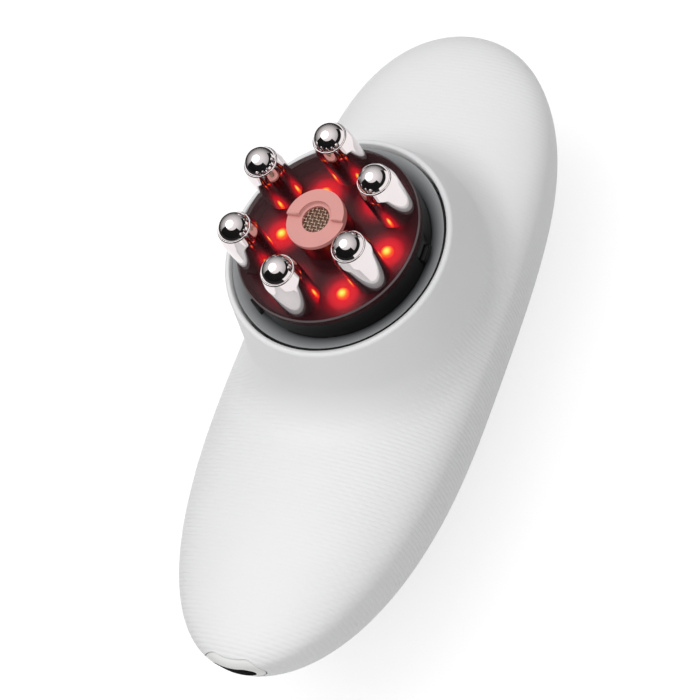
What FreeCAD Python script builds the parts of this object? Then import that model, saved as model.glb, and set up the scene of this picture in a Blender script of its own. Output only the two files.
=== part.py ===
import FreeCAD, Part
import math
import os
import re

import Sketcher

# A hand-held electric muscle stimulator lying on its back.
# X is across the housing, Y along it towards the head end, Z up along the head's axis.
# Millimetres. The origin is on the resting face, in the middle of the housing's length and width.

V = FreeCAD.Vector
doc = FreeCAD.newDocument("muscle_stimulator")

SIZES = (
    # housing
    ("body_length", 176.0, "housing, overall length"),
    ("body_width", 66.0, "housing, overall width"),
    ("widest_y", -6.2, "where the housing is widest"),
    ("head_fullness", 4.75, "exponent of the outline towards the head end"),
    ("tail_fullness", 2.44, "exponent of the outline towards the tail end"),
    ("front_rise", 12.0, "front face above the widest line"),
    ("back_drop", 37.3, "back below the widest line, before the flat is cut"),
    ("flat_cut", 1.8, "depth of the resting flat, cut from the back"),
    ("spine_bow", 7.45, "rise of the widest line, one bow span from its lowest point"),
    ("bow_span", 100.0, "distance at which that rise is measured"),
    ("bow_y", 30.5, "where the widest line is lowest"),
    ("wall", 2.2, "wall of both shells"),
    ("floor_thickness", 2.2, "rear cover at the resting flat"),
    ("parting_height", 12.0, "seam between the two shells"),
    ("seam_gap", 0.15, "open seam between the two shells"),
    ("seal_thickness", 1.2, "rubber band inside the seam, through its thickness"),
    ("seal_height", 2.0, "rubber band inside the seam, its height"),
    ("fit_gap", 0.1, "clearance of a piece that is seated in another"),
    ("screw_spread_share", 0.1947, "rear cover screws from the middle, as a share of the width"),
    ("tail_screw_share", 0.2045, "rear cover screws at the tail, as a share of the length from the middle"),
    ("head_screw_share", 0.3295, "rear cover screws at the head end, as a share of the length"),
    ("screw_seat_depth", 1.6, "rear cover left under a screw head, below the seam"),
    ("boss_radius", 3.2, "screw bosses of both shells"),
    ("screw_shank_radius", 1.2, "cover and seat screws, shank"),
    ("screw_head_radius", 2.3, "cover and seat screws, head"),
    ("screw_head_height", 1.8, "cover and seat screws, head"),
    ("cover_screw_length", 14.0, "rear cover screws below the head"),
    # collar and seat of the head
    ("head_y", 12.2, "axis of the head"),
    ("head_rise", 26.4, "flat top of the head above the housing's front face"),
    ("rim_drop", 6.3, "rim of the collar below the flat top"),
    ("rim_wall", 1.35, "rim of the collar, wall"),
    ("rim_round", 0.9, "rounding of the rim's outer edge"),
    ("flare_inset", 1.5, "collar inside the housing's sides at the widest line"),
    ("flare_reach", 12.1, "collar beyond its rim along the housing, at the widest line"),
    ("collar_round", 13.0, "hollow rounding between collar and front face"),
    ("seat_land", 4.0, "grey seat ring beyond the black head"),
    ("seat_gap", 0.35, "dark gap between seat ring and rim"),
    ("seat_floor", 2.0, "floor of the seat ring"),
    ("ledge_width", 5.7, "ledge that carries the seat ring"),
    ("collar_foot", 4.0, "where the collar meets the shell, above the front face"),
    ("seat_screw_inset", 2.6, "seat screws inside the edge of the seat ring"),
    ("seat_screw_grip", 3.0, "ledge held under the head of a seat screw"),
    ("seat_screw_bite", 5.0, "seat screw's bite in the seat ring"),
    # twist-lock head
    ("puck_share", 0.70303, "width of the black head as a share of the housing's width"),
    ("puck_height", 8.3, "black head from its flat top to its underside"),
    ("puck_wall", 1.4, "wall of the black head"),
    ("ledge_gap", 0.2, "head's underside above the seat ring"),
    ("spigot_inset", 1.5, "part of the head that goes into the seat ring, inside the head's edge"),
    ("spigot_wall", 1.5, "wall of that part"),
    ("spigot_depth", 7.9, "depth of that part"),
    ("base_step", 0.6, "step that the base plate seats against"),
    ("spigot_gap", 0.4, "clearance round that part"),
    ("tab_reach", 1.0, "bayonet tabs beyond the spigot"),
    ("tab_height", 2.0, "bayonet tabs"),
    ("tab_drop", 5.2, "top of the bayonet tabs below the head's underside"),
    ("tab_angle", 24.0, "arc of one bayonet tab"),
    ("twist_angle", 30.0, "turn that frees the head"),
    ("tab_slack", 3.0, "spare arc beside a bayonet tab"),
    ("tab_gap", 0.3, "clearance above, below and outside a bayonet tab"),
    ("lug_angle", 3.5, "first grip lug from the X axis, in degrees"),
    ("lug_spread", 131.5, "angle between the first and second grip lug"),
    ("lug_length", 4.2, "grip lugs on the wall of the head, along the wall"),
    ("lug_height", 1.7, "grip lugs on the wall of the head"),
    ("lug_reach", 0.9, "grip lugs beyond the wall of the head"),
    ("lug_lift", 1.2, "grip lugs above the head's underside"),
    ("cup_floor", 1.6, "floor of the black head under the lamp board"),
    ("cable_hole_radius", 4.9, "hole in the middle of the head's floor"),
    ("lens_thickness", 2.0, "smoked window on top of the head"),
    ("lens_bevel", 0.35, "bevel round the smoked window"),
    ("board_thickness", 1.6, "printed boards"),
    ("base_thickness", 1.5, "plate that closes the head underneath"),
    ("contact_thickness", 0.3, "contact rings under the head"),
    ("contact_inner_radius", 4.0, "middle of the inner contact ring"),
    ("contact_outer_radius", 8.0, "middle of the outer contact ring"),
    ("contact_width", 1.8, "contact rings, width"),
    ("pin_radius", 0.7, "spring contact pins"),
    ("pin_height", 1.0, "spring contact pins above their block"),
    ("pin_gap", 0.3, "contact pins below the contact rings"),
    ("block_radius", 10.0, "block that holds the contact pins"),
    ("block_height", 1.2, "block that holds the contact pins"),
    # electrodes with their balls
    ("first_post_angle", 29.0, "first electrode from the X axis, in degrees"),
    ("post_inset", 5.7, "circle of the six electrodes, inside the head's edge"),
    ("ball_radius", 3.97, "steel balls"),
    ("ball_height", 13.9, "middle of the balls above the flat top"),
    ("ball_gap", 0.06, "running fit of a ball in its cup"),
    ("post_radius", 4.8, "electrode posts"),
    ("shoulder_height", 2.2, "post's shoulder below the middle of the ball"),
    ("lip_height", 0.8, "crimped lip above the middle of the ball"),
    ("lip_thickness", 0.25, "crimped lip round the ball"),
    ("stud_radius", 3.1, "foot of a post inside the head"),
    ("post_screw_radius", 1.2, "screws that hold the posts"),
    ("post_screw_head", 2.0, "screws that hold the posts, head radius"),
    ("post_screw_bite", 5.0, "screws that hold the posts, depth in the post"),
    # lamps and centre pillar
    ("lamp_inset", 3.2, "circle of the six lamps, inside that of the electrodes"),
    ("lamp_side", 3.0, "lamps, side"),
    ("lamp_height", 0.9, "lamps, height"),
    ("pillar_radius", 6.9, "centre pillar, outside"),
    ("pillar_wall", 1.5, "centre pillar, wall"),
    ("pillar_height", 5.8, "centre pillar above the flat top"),
    ("cap_rim", 0.5, "disc on the centre pillar, beyond the pillar"),
    ("cap_thickness", 1.2, "lower half of the disc"),
    ("cap_step", 1.0, "raised half of the disc above the lower half"),
    ("cap_cutout_radius", 4.3, "half-round cut of the raised half"),
    ("mesh_radius", 3.35, "woven screen in the disc"),
    ("mesh_thickness", 0.5, "woven screen in the disc"),
    ("mesh_sink", 0.2, "woven screen below the lower half's face"),
    ("pad_thickness", 2.0, "felt pad under the screen"),
    # buttons
    ("button_y", -6.0, "middle button"),
    ("button_pitch", 12.5, "distance between the buttons"),
    ("button_drop", 5.5, "buttons below the widest line"),
    ("button_radius", 3.6, "button caps"),
    ("button_gap", 0.1, "running fit of a button in its plate"),
    ("button_stand", 1.4, "buttons beyond their plate"),
    ("button_flange", 1.0, "collar of a button behind the plate, width and thickness"),
    ("button_travel", 0.6, "stroke of a button"),
    ("plate_recess", 2.2, "button plate below the widest line"),
    ("plate_depth", 2.6, "button plate's front part, through the shell"),
    ("plate_flange", 1.4, "button plate's flange behind the shell, thickness"),
    ("plate_margin", 6.3, "button plate beyond the outer buttons' middles"),
    ("plate_half_width", 5.0, "button plate, half of its width"),
    ("flange_margin", 2.0, "button plate's flange beyond its front part"),
    ("ear_length", 3.4, "ends of the flange that take the screws"),
    ("standoff_radius", 1.7, "standoffs between the flange and the button board"),
    ("window_gap", 0.2, "clearance of the button plate and the port bezel in the shell"),
    ("button_screw_radius", 0.9, "screws of the button board, shank"),
    ("button_screw_head", 1.6, "screws of the button board, head radius"),
    ("button_screw_bite", 2.0, "screws of the button board, depth in the shell"),
    ("switch_side", 4.5, "push switches, side"),
    ("switch_body", 0.9, "push switches, body height"),
    ("plunger_radius", 1.1, "push switches, plunger"),
    ("plunger_height", 0.5, "push switches, plunger above the body"),
    ("press_gap", 0.12, "plunger beyond the button's full stroke"),
    ("pipe_radius", 0.9, "light pipe between two buttons"),
    # charging port and main board
    ("port_drop", 1.9, "port below the tip of the tail"),
    ("bezel_half_length", 7.8, "port bezel, half of its length"),
    ("bezel_half_width", 4.2, "port bezel, half of its width"),
    ("bezel_depth", 4.6, "port bezel, from the tip of the tail inward"),
    ("slot_half_length", 5.7, "opening of the bezel, half of its length"),
    ("slot_half_width", 2.5, "opening of the bezel, half of its width"),
    ("socket_width", 8.94, "charging socket"),
    ("socket_height", 3.26, "charging socket"),
    ("socket_length", 7.35, "charging socket"),
    ("socket_wall", 0.3, "charging socket, sheet"),
    ("tongue_thickness", 0.7, "contact tongue in the charging socket"),
    ("main_board_width", 17.0, "main board"),
    ("main_board_setback", 18.0, "main board from the tip of the tail"),
    ("main_board_length", 54.0, "main board, without its narrow end"),
    ("tongue_width", 11.0, "narrow end of the main board under the socket"),
    ("board_screw_inset", 3.2, "board screws from the board's edges"),
    ("board_screw_radius", 1.0, "board screws, shank"),
    ("board_screw_head", 1.8, "board screws, head radius"),
    ("board_screw_bite", 2.4, "board screws, depth in the shell"),
    ("coil_side", 12.0, "step-up transformer, side"),
    ("coil_height", 9.0, "step-up transformer, height"),
    ("coil_limb", 2.2, "step-up transformer, limbs of the core"),
    ("coil_radius", 2.8, "step-up transformer, winding"),
    ("coil_setback", 30.0, "step-up transformer, middle from the board's edge towards the tail"),
    ("chip_side", 7.0, "controller chip, side"),
    ("chip_height", 1.2, "controller chip, height"),
    ("chip_setback", 15.0, "controller chip, middle from the board's edge towards the tail"),
    # battery
    ("cell_radius", 9.25, "battery cell"),
    ("cell_length", 65.0, "battery cell"),
    ("cell_y", 14.0, "battery cell, middle"),
    ("cell_lift", 0.4, "battery cell above the rear cover's floor"),
    ("cradle_width", 24.0, "ribs that carry the cell, across"),
    ("cradle_height", 9.0, "ribs that carry the cell, above the resting face"),
    ("cradle_thickness", 3.0, "ribs that carry the cell, along"),
    ("cradle_spread", 22.0, "ribs that carry the cell, from its middle"),
    ("strip_thickness", 0.25, "nickel strips on the cell's ends"),
    ("strip_width", 6.0, "nickel strips on the cell's ends"),
)

# Sizes that follow from the ones above
FOLLOWING = (
    ("spine_height", "back_drop - flat_cut", "lowest point of the widest line above the resting face"),
    ("head_top", "spine_height + front_rise + head_rise", "flat top of the head above the resting face"),
    ("button_height", "spine_height - button_drop", "buttons above the resting face"),
    ("cover_screw_x", "screw_spread_share * body_width", "rear cover screws, from the middle"),
    ("cover_screw_tail_y", "-tail_screw_share * body_length", "rear cover screws at the tail"),
    ("cover_screw_head_y", "head_screw_share * body_length", "rear cover screws at the head end"),
    ("puck_radius", "puck_share * body_width / 2", "black head, outside"),
    ("spigot_radius", "puck_radius - spigot_inset", "part of the head that goes into the seat ring"),
    ("seat_radius", "puck_radius + seat_land", "grey seat ring, outside"),
    ("seat_screw_radius", "seat_radius - seat_screw_inset", "circle of the seat screws"),
    ("ledge_radius", "seat_radius - ledge_width", "opening of the ledge that carries the seat ring"),
    ("rim_radius", "seat_radius + seat_gap + rim_wall", "rim of the collar, outside"),
    ("flare_x", "body_width / 2 - flare_inset", "half width of the collar at the widest line"),
    ("flare_y", "rim_radius + flare_reach", "half length of the collar at the widest line"),
    ("pitch_radius", "puck_radius - post_inset", "circle of the six electrodes"),
    ("lamp_radius", "pitch_radius - lamp_inset", "circle of the six lamps"),
    ("cap_radius", "pillar_radius + cap_rim", "disc on the centre pillar"),
    ("main_board_start", "main_board_setback - body_length / 2", "main board, edge towards the tail"),
    ("main_board_end", "main_board_start + main_board_length", "main board, edge towards the head"),
    ("coil_y", "main_board_start + coil_setback", "step-up transformer, middle"),
    ("chip_y", "main_board_start + chip_setback", "controller chip, middle"),
)

sheet = doc.addObject("Spreadsheet::Sheet", "sizes")
ALIASES = set()
for row, (alias, content, note) in enumerate(SIZES + FOLLOWING, 1):
    sheet.set(f"A{row}", note)
    sheet.set(f"B{row}", f"={content}")
    sheet.setAlias(f"B{row}", alias)
    ALIASES.add(alias)
doc.recompute()


def formula(text):
    """The same formula with every size pointing at its cell."""
    return re.sub(r"[a-z]\w*", lambda m: "sizes." + m[0] if m[0] in ALIASES else m[0], text)


def value(text):
    """The number that a formula gives now."""
    return float(sheet.evalExpression(formula(text)))


# Heights and radii that several pieces share, as formulas of the sizes
LENS_BOTTOM = "(head_top - lens_thickness)"
PUCK_BOTTOM = "(head_top - puck_height)"
LEDGE = "(head_top - puck_height - ledge_gap)"
RIM = "(head_top - rim_drop)"
BOARD_BOTTOM = "(head_top - puck_height + cup_floor)"
BOARD_TOP = "(head_top - puck_height + cup_floor + board_thickness)"
SPIGOT_BOTTOM = "(head_top - puck_height - spigot_depth)"
BLOCK_TOP = f"({SPIGOT_BOTTOM} - contact_thickness - pin_gap - pin_height)"
FLOOR_TOP = f"({BLOCK_TOP} - block_height)"
SEAT_BOTTOM = f"({FLOOR_TOP} - seat_floor)"
BORE = "(spigot_radius + spigot_gap)"
TAB_TOP = f"({PUCK_BOTTOM} - tab_drop)"
TAB_RADIUS = "(spigot_radius + tab_reach)"
SPIGOT_BORE = "(spigot_radius - spigot_wall)"
BASE_BORE = "(spigot_radius - spigot_wall - base_step)"
BALL_CENTRE = "(head_top + ball_height)"
SCREW_SEAT = "(parting_height - screw_seat_depth)"
PLATE_FACE = "(plate_recess - body_width / 2)"
PLATE_BACK = f"({PLATE_FACE} + plate_depth)"
FLANGE_BACK = f"({PLATE_BACK} + plate_flange)"
BUTTON_BACK = f"({FLANGE_BACK} + button_gap + button_flange)"
PLUNGER_TIP = f"({BUTTON_BACK} + button_travel + press_gap)"
BUTTON_BOARD = f"({PLUNGER_TIP} + plunger_height + switch_body)"
PLATE_END = "(button_pitch + plate_margin)"
EAR = "(button_pitch + plate_margin + ear_length)"
POST_COUNT = 6
TAB_COUNT = 3
BETWEEN_POSTS = f"(first_post_angle - {180 // POST_COUNT})"
TAIL = "(-body_length / 2)"
TAIL_HEIGHT = "(spine_height + spine_bow * ((body_length / 2 + bow_y) / bow_span) ^ 2)"
PORT = f"({TAIL_HEIGHT} - port_drop)"
MAIN_TOP = f"({PORT} - socket_height / 2)"
MAIN_BOTTOM = f"({MAIN_TOP} - board_thickness)"
CELL_HEIGHT = "(floor_thickness + cell_lift + cell_radius)"

UP = FreeCAD.Rotation()
ALONG_X = FreeCAD.Rotation(V(0, 1, 0), 90)
ALONG_Y = FreeCAD.Rotation(V(1, 0, 0), -90)
ALL_BUT_ZERO = 1.0


def bind(thing, **properties):
    for name, text in properties.items():
        thing.setExpression(name, formula(text))
    return thing


def place(thing, x, y, z, rotation=UP):
    """Puts a piece where three formulas say."""
    thing.Placement = FreeCAD.Placement(V(), rotation)
    for axis, text in zip("xyz", (x, y, z)):
        thing.setExpression(f"Placement.Base.{axis}", formula(text))
    return thing


def cylinder(name, radius, height, x="0", y="0", z="0", rotation=UP):
    thing = bind(doc.addObject("Part::Cylinder", name), Radius=radius, Height=height)
    return place(thing, x, y, z, rotation)


def sphere(name, radius, x, y, z):
    return place(bind(doc.addObject("Part::Sphere", name), Radius=radius), x, y, z)


def cone(name, low, high, height, x, y, z):
    thing = bind(doc.addObject("Part::Cone", name), Radius1=low, Radius2=high, Height=height)
    return place(thing, x, y, z)


def sector(name, radius, height, arc, start, z):
    """A slice of a round plate about the head's axis, from the angle start over the angle arc."""
    thing = cylinder(name, radius, height, "0", "head_y", z, FreeCAD.Rotation(V(0, 0, 1), ALL_BUT_ZERO))
    return bind(thing, Angle=arc, **{"Placement.Rotation.Angle": start})


def box(name, length, width, height, x, y, z):
    """A box from the three formulas of its middle in X, its middle in Y and its bottom."""
    thing = bind(doc.addObject("Part::Box", name), Length=length, Width=width, Height=height)
    return place(thing, f"{x} - ({length}) / 2", f"{y} - ({width}) / 2", z)


def fuse(name, *things):
    thing = doc.addObject("Part::MultiFuse", name)
    thing.Shapes = list(things)
    return thing


def cut(name, base, *tools):
    thing = doc.addObject("Part::Cut", name)
    thing.Base = base
    thing.Tool = tools[0] if len(tools) == 1 else fuse(name + "_tools", *tools)
    return thing


def common(name, *things):
    thing = doc.addObject("Part::MultiCommon", name)
    thing.Shapes = list(things)
    return thing


def group(name, things):
    """Like pieces that stay separate solids under one name."""
    thing = doc.addObject("Part::Compound", name)
    thing.Links = list(things)
    return thing


def fixed(name, shape):
    """A free form whose shape was worked out from the sizes."""
    thing = doc.addObject("Part::Feature", name)
    thing.Shape = shape
    return thing


def turned(name, profile, y="head_y"):
    """A turned piece about a vertical axis: a closed profile of radius and height formulas."""
    body = doc.addObject("PartDesign::Body", name)
    sketch = body.newObject("Sketcher::SketchObject", name + "_profile")
    plane = [f for f in body.Origin.OriginFeatures if f.Role == "XZ_Plane"][0]
    sketch.AttachmentSupport = [(plane, "")]
    sketch.MapMode = "FlatFace"
    points = [V(value(r), value(z), 0) for r, z in profile]
    for i, point in enumerate(points):
        sketch.addGeometry(Part.LineSegment(point, points[(i + 1) % len(points)]))
    for i, (r, z) in enumerate(profile):
        sketch.addConstraint(Sketcher.Constraint("Coincident", i, 2, (i + 1) % len(profile), 1))
        if r == "0":
            sketch.addConstraint(Sketcher.Constraint("PointOnObject", i, 1, -2))
        else:
            across = sketch.addConstraint(Sketcher.Constraint("DistanceX", -1, 1, i, 1, points[i].x))
            sketch.setExpression(f"Constraints[{across}]", formula(r))
        up = sketch.addConstraint(Sketcher.Constraint("DistanceY", -1, 1, i, 1, points[i].y))
        sketch.setExpression(f"Constraints[{up}]", formula(z))
    turn = body.newObject("PartDesign::Revolution", name + "_turn")
    turn.Profile = sketch
    turn.ReferenceAxis = (sketch, ["V_Axis"])
    turn.Angle = 360
    body.Tip = turn
    return place(body, "0", y, "0")


def around(count, radius, start):
    """The X and Y formulas of points on a circle about the head's axis."""
    for i in range(count):
        angle = f"(({start}) + {360 * i / count}) * 1 deg"
        yield i + 1, f"{radius} * cos({angle})", f"head_y + {radius} * sin({angle})"


def obround(name, half_length, half_width, depth, x, y, z, rotation):
    """A plate with round ends, across X and Z when it runs along Y, across Y and Z when it runs along X."""
    reach = f"({half_length} - ({half_width}))"
    if rotation is ALONG_Y:
        ends = [(f"{x} - {reach}", y), (f"{x} + {reach}", y)]
        middle = box(name + "_middle", f"2 * {reach}", depth, f"2 * ({half_width})",
                     x, f"{y} + ({depth}) / 2", f"{z} - ({half_width})")
    else:
        ends = [(x, f"{y} - {reach}"), (x, f"{y} + {reach}")]
        middle = box(name + "_middle", depth, f"2 * {reach}", f"2 * ({half_width})",
                     f"{x} + ({depth}) / 2", y, f"{z} - ({half_width})")
    rounds = [cylinder(f"{name}_end_{i}", half_width, depth, end_x, end_y, z, rotation)
              for i, (end_x, end_y) in enumerate(ends, 1)]
    return fuse(name, middle, *rounds)


# The pebble form of the housing
OUTLINE_STEPS = 12


def spine(y):
    """Height of the housing's widest line."""
    return value("spine_height") + value("spine_bow") * ((y - value("bow_y")) / value("bow_span")) ** 2


def outline(inset):
    """Half of the housing's plan as one smooth curve from the tail's tip to the head end's tip."""
    half_width = value("body_width") / 2 - inset
    half_length = value("body_length") / 2 - inset
    widest = value("widest_y")
    step = math.pi / 2 / OUTLINE_STEPS
    points = []
    for i in range(-OUTLINE_STEPS, OUTLINE_STEPS + 1):
        along = math.sin(step * i)
        fullness = value("head_fullness") if i >= 0 else value("tail_fullness")
        reach = half_length - widest if i >= 0 else half_length + widest
        points.append(V(half_width * math.sqrt(1 - abs(along) ** fullness), widest + along * reach, 0))
    at_tail = V(half_width * math.sqrt(value("tail_fullness") / 2) * step, 0, 0)
    at_head = V(-half_width * math.sqrt(value("head_fullness") / 2) * step, 0, 0)
    curve = Part.BSplineCurve()
    curve.interpolate(Points=points, Parameters=[float(i) for i in range(len(points))],
                      InitialTangent=at_tail, FinalTangent=at_head, Scale=False)
    return curve


def pebble(inset):
    """The closed housing form with its skin moved inward by inset."""
    half_width = value("body_width") / 2 - inset
    edge = outline(inset).toShape()
    faces = []
    for angle, size in ((-180, "front_rise"), (180, "back_drop")):
        scale = (value(size) - inset) / half_width
        surface = edge.revolve(V(), V(0, 1, 0), angle).toNurbs().Faces[0].Surface
        for u in range(1, surface.NbUPoles + 1):
            for v in range(1, surface.NbVPoles + 1):
                pole = surface.getPole(u, v)
                surface.setPole(u, v, V(pole.x, pole.y, pole.z * scale + spine(pole.y)))
        faces.append(surface.toShape())
    shell = Part.Shell(faces)
    shell.sewShape()
    solid = Part.Solid(shell)
    if solid.Volume < 0:
        solid.reverse()
    return solid


def collar():
    """The raised collar under the head, from an oval inside the housing to the round rim."""
    quarter_turn = FreeCAD.Rotation(V(0, 0, 1), 90)
    foot = Part.Ellipse(V(), value("flare_y"), value("flare_x")).toShape()
    foot.Placement = FreeCAD.Placement(V(0, value("head_y"), value("spine_height")), quarter_turn)
    rim = Part.Circle(V(), V(0, 0, 1), value("rim_radius")).toShape()
    rim.Placement = FreeCAD.Placement(V(0, value("head_y"), value(RIM)), quarter_turn)
    return Part.makeLoft([Part.Wire(foot), Part.Wire(rim)], True, True)


def outer_form():
    """Housing and collar in one, with the hollow rounding between them and the rounded rim."""
    hair = 0.01
    rim = value(RIM)
    lowest = spine(value("head_y")) + hair
    joined = pebble(0).fuse(collar())
    shortest = value("rim_round")
    meeting = [edge for edge in joined.Edges if edge.Length > shortest
               and edge.BoundBox.ZMin > lowest and edge.BoundBox.ZMax < rim - hair]
    rounded = joined.makeFillet(value("collar_round"), meeting)
    rim_edges = [edge for edge in rounded.Edges if edge.BoundBox.ZMin > rim - hair]
    return rounded.makeFillet(value("rim_round"), rim_edges)


FAR = "(2 * body_length)"
outer = fixed("outer", outer_form())
cavity = fixed("cavity", pebble(value("wall")))
middle_of_wall = fixed("middle_of_wall", pebble(value("wall / 2")))
above_seam = box("above_seam", FAR, FAR, FAR, "0", "0", "parting_height + seam_gap / 2")
below_seam = box("below_seam", FAR, FAR, "parting_height - seam_gap / 2", "0", "0", "0")
above_floor = box("above_floor", FAR, FAR, FAR, "0", "0", "floor_thickness")


def inside(name, *things):
    """Bosses and ribs, ended in the middle of the housing's wall."""
    return common(name, fuse(name + "_all", *things), middle_of_wall)


def head_disc(name, radius, height, z):
    """A round plate on the head's axis."""
    return cylinder(name, radius, height, "0", "head_y", z)


def across(name, radius, length, x, y):
    """A round bar that points along X, at the height of the buttons."""
    return cylinder(name, radius, length, x, y, "button_height", ALONG_X)


def across_holes(name, radius, places):
    """Round holes right through the button side of the housing."""
    return [across(f"{name}_{i}", radius, "body_width", "-body_width", y) for i, y in places]


def screw(name, shank, length, head, head_height, x, y, seat):
    """A screw that points up, its head below the height seat."""
    return fuse(name, cylinder(name + "_shank", shank, length, x, y, seat),
                cylinder(name + "_head", head, head_height, x, y, f"{seat} - ({head_height})"))


# Places of the screws, buttons, pins and electrodes
def corners(x, low_y, high_y):
    """The four corners of a rectangle, numbered."""
    places = [(f"{side} * {x}", y) for side in (-1, 1) for y in (low_y, high_y)]
    return [(i, x, y) for i, (x, y) in enumerate(places, 1)]


COVER_SCREWS = corners("cover_screw_x", "cover_screw_tail_y", "cover_screw_head_y")
BOARD_SCREWS = corners("(main_board_width / 2 - board_screw_inset)", "(main_board_start + board_screw_inset)",
                       "(main_board_end - board_screw_inset)")
SEAT_SCREWS = list(around(3, "seat_screw_radius", "90"))
BUTTON_SCREWS = [(1, f"button_y - {EAR}"), (2, f"button_y + {EAR}")]
BUTTONS = [("power_button", "button_y + button_pitch"), ("mode_button", "button_y"),
           ("level_button", "button_y - button_pitch")]
PIPE_Y = "(button_y + button_pitch / 2)"
PINS = list(around(2, "contact_inner_radius", "0"))
PINS += [(i + len(PINS), x, y) for i, x, y in around(2, "contact_outer_radius", "90")]
POSTS = list(around(POST_COUNT, "pitch_radius", "first_post_angle"))
HEAD_HOLE = "(screw_head_radius + window_gap)"
SHANK_HOLE = "(screw_shank_radius + fit_gap)"
BOARD_SHANK_HOLE = "(board_screw_radius + fit_gap)"
BUTTON_SHANK_HOLE = "(button_screw_radius + fit_gap)"
POST_SHANK_HOLE = "(post_screw_radius + fit_gap)"
PILLAR_TOP = "(head_top + pillar_height)"
CAP_FACE = f"({PILLAR_TOP} + cap_thickness)"


# Housing
def front_form():
    """Front shell and collar as one form, with the ledge for the seat ring, bosses and windows."""
    seam = "parting_height + seam_gap / 2"
    land_half_width = "(plate_half_width + 2 * flange_margin)"
    bosses = [cylinder(f"front_boss_{i}", "boss_radius", FAR, x, y, seam) for i, x, y in COVER_SCREWS]
    bosses += [cylinder(f"board_boss_{i}", "board_screw_head + fit_gap", FAR, x, y, MAIN_TOP)
               for i, x, y in BOARD_SCREWS]
    land = box("button_land", "body_width", f"2 * ({EAR} + 2 * flange_margin)", f"2 * {land_half_width}",
               f"{PLATE_BACK} - body_width / 2", "button_y", f"button_height - {land_half_width}")
    hollow = cut("front_hollow", common("front_solid", outer, above_seam), cavity)
    solid = fuse("front_with_bosses", hollow, inside("front_bosses", land, *bosses))
    well_top = f"({SEAT_BOTTOM} - seat_screw_grip)"
    tools = [
        head_disc("collar_bore", "seat_radius + seat_gap", FAR, SEAT_BOTTOM),
        head_disc("ledge_opening", "ledge_radius", f"{SEAT_BOTTOM} - spine_height + seat_gap", "spine_height"),
        obround("button_window", f"{PLATE_END} + window_gap", "(plate_half_width + window_gap)", "body_width",
                f"{PLATE_BACK} - body_width", "button_y", "button_height", ALONG_X),
        obround("flange_pocket", f"{EAR} + flange_margin + window_gap",
                "(plate_half_width + flange_margin + window_gap)", "body_width / 4", PLATE_BACK, "button_y",
                "button_height", ALONG_X),
        obround("port_window", "bezel_half_length + window_gap", "(bezel_half_width + window_gap)",
                "2 * bezel_depth", "0", f"{TAIL} - bezel_depth", PORT, ALONG_Y),
    ]
    for i, x, y in COVER_SCREWS:
        tools.append(cylinder(f"front_screw_hole_{i}", SHANK_HOLE, "cover_screw_length + fit_gap", x, y,
                              SCREW_SEAT))
    for i, x, y in BOARD_SCREWS:
        tools.append(cylinder(f"board_screw_hole_{i}", BOARD_SHANK_HOLE, "board_screw_bite + fit_gap", x, y,
                              MAIN_TOP))
    for i, x, y in SEAT_SCREWS:
        tools.append(cylinder(f"seat_screw_hole_{i}", SHANK_HOLE, "seat_screw_grip + fit_gap", x, y, well_top))
        tools.append(cylinder(f"seat_screw_well_{i}", HEAD_HOLE, f"{well_top} - spine_height", x, y,
                              "spine_height"))
    for i, y in BUTTON_SCREWS:
        tools.append(across(f"button_screw_hole_{i}", BUTTON_SHANK_HOLE, "button_screw_bite + fit_gap",
                            f"{PLATE_BACK} - button_screw_bite - fit_gap", y))
    return cut("front_form", solid, *tools)


front = front_form()
collar_room = head_disc("collar_room", "flare_y + collar_round / 2", FAR,
                        "spine_height + front_rise + collar_foot")


def front_shell():
    """Deep front shell, up to the flat that the collar stands on."""
    return cut("front_shell", front, collar_room)


def head_collar():
    """Raised collar round the seat of the head, clamped to the shell by the seat screws."""
    return common("head_collar", front, collar_room)


def rear_cover():
    """Shallow rear cover with the resting flat, screw bosses and the ribs that carry the cell."""
    bosses = [cylinder(f"cover_boss_{i}", "boss_radius", "parting_height - seam_gap / 2", x, y, "0")
              for i, x, y in COVER_SCREWS]
    ribs = [box(f"cradle_{i}", "cradle_width", "cradle_thickness", "cradle_height", "0",
                f"cell_y + {side} * cradle_spread", "0") for i, side in ((1, -1), (2, 1))]
    inner_room = common("cover_hollow", cavity, above_floor)
    dish = cut("cover_dish", common("cover_solid", outer, below_seam), inner_room)
    above_flat = box("above_flat", FAR, FAR, FAR, "0", "0", "floor_thickness / 2")
    posts = common("cover_bosses", inside("cover_posts", *bosses, *ribs), above_flat)
    tools = [cylinder("cell_trough", "cell_radius + fit_gap", "cell_length", "0", "cell_y - cell_length / 2",
                      CELL_HEIGHT, ALONG_Y)]
    for i, x, y in COVER_SCREWS:
        tools.append(cylinder(f"cover_screw_hole_{i}", SHANK_HOLE, "parting_height", x, y, SCREW_SEAT))
        tools.append(cylinder(f"cover_screw_well_{i}", HEAD_HOLE, SCREW_SEAT, x, y, "0"))
    return cut("rear_cover", fuse("cover_with_bosses", dish, posts), *tools)


def shell_seal():
    """Rubber band that closes the seam from inside and goes round the bosses."""
    low = "parting_height - seal_height / 2"
    band = box("seal_band", FAR, FAR, "seal_height", "0", "0", low)
    outside = fixed("seal_outside", pebble(value("wall + fit_gap")))
    hollow = fixed("seal_inside", pebble(value("wall + fit_gap + seal_thickness")))
    notches = [cylinder(f"seal_notch_{i}", "boss_radius + fit_gap", "seal_height", x, y, low)
               for i, x, y in COVER_SCREWS]
    return cut("shell_seal", common("seal_disc", outside, band), hollow, *notches)


def cover_screws():
    return group("cover_screws", [
        screw(f"cover_screw_{i}", "screw_shank_radius", "cover_screw_length", "screw_head_radius",
              "screw_head_height", x, y, SCREW_SEAT) for i, x, y in COVER_SCREWS])


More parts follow.
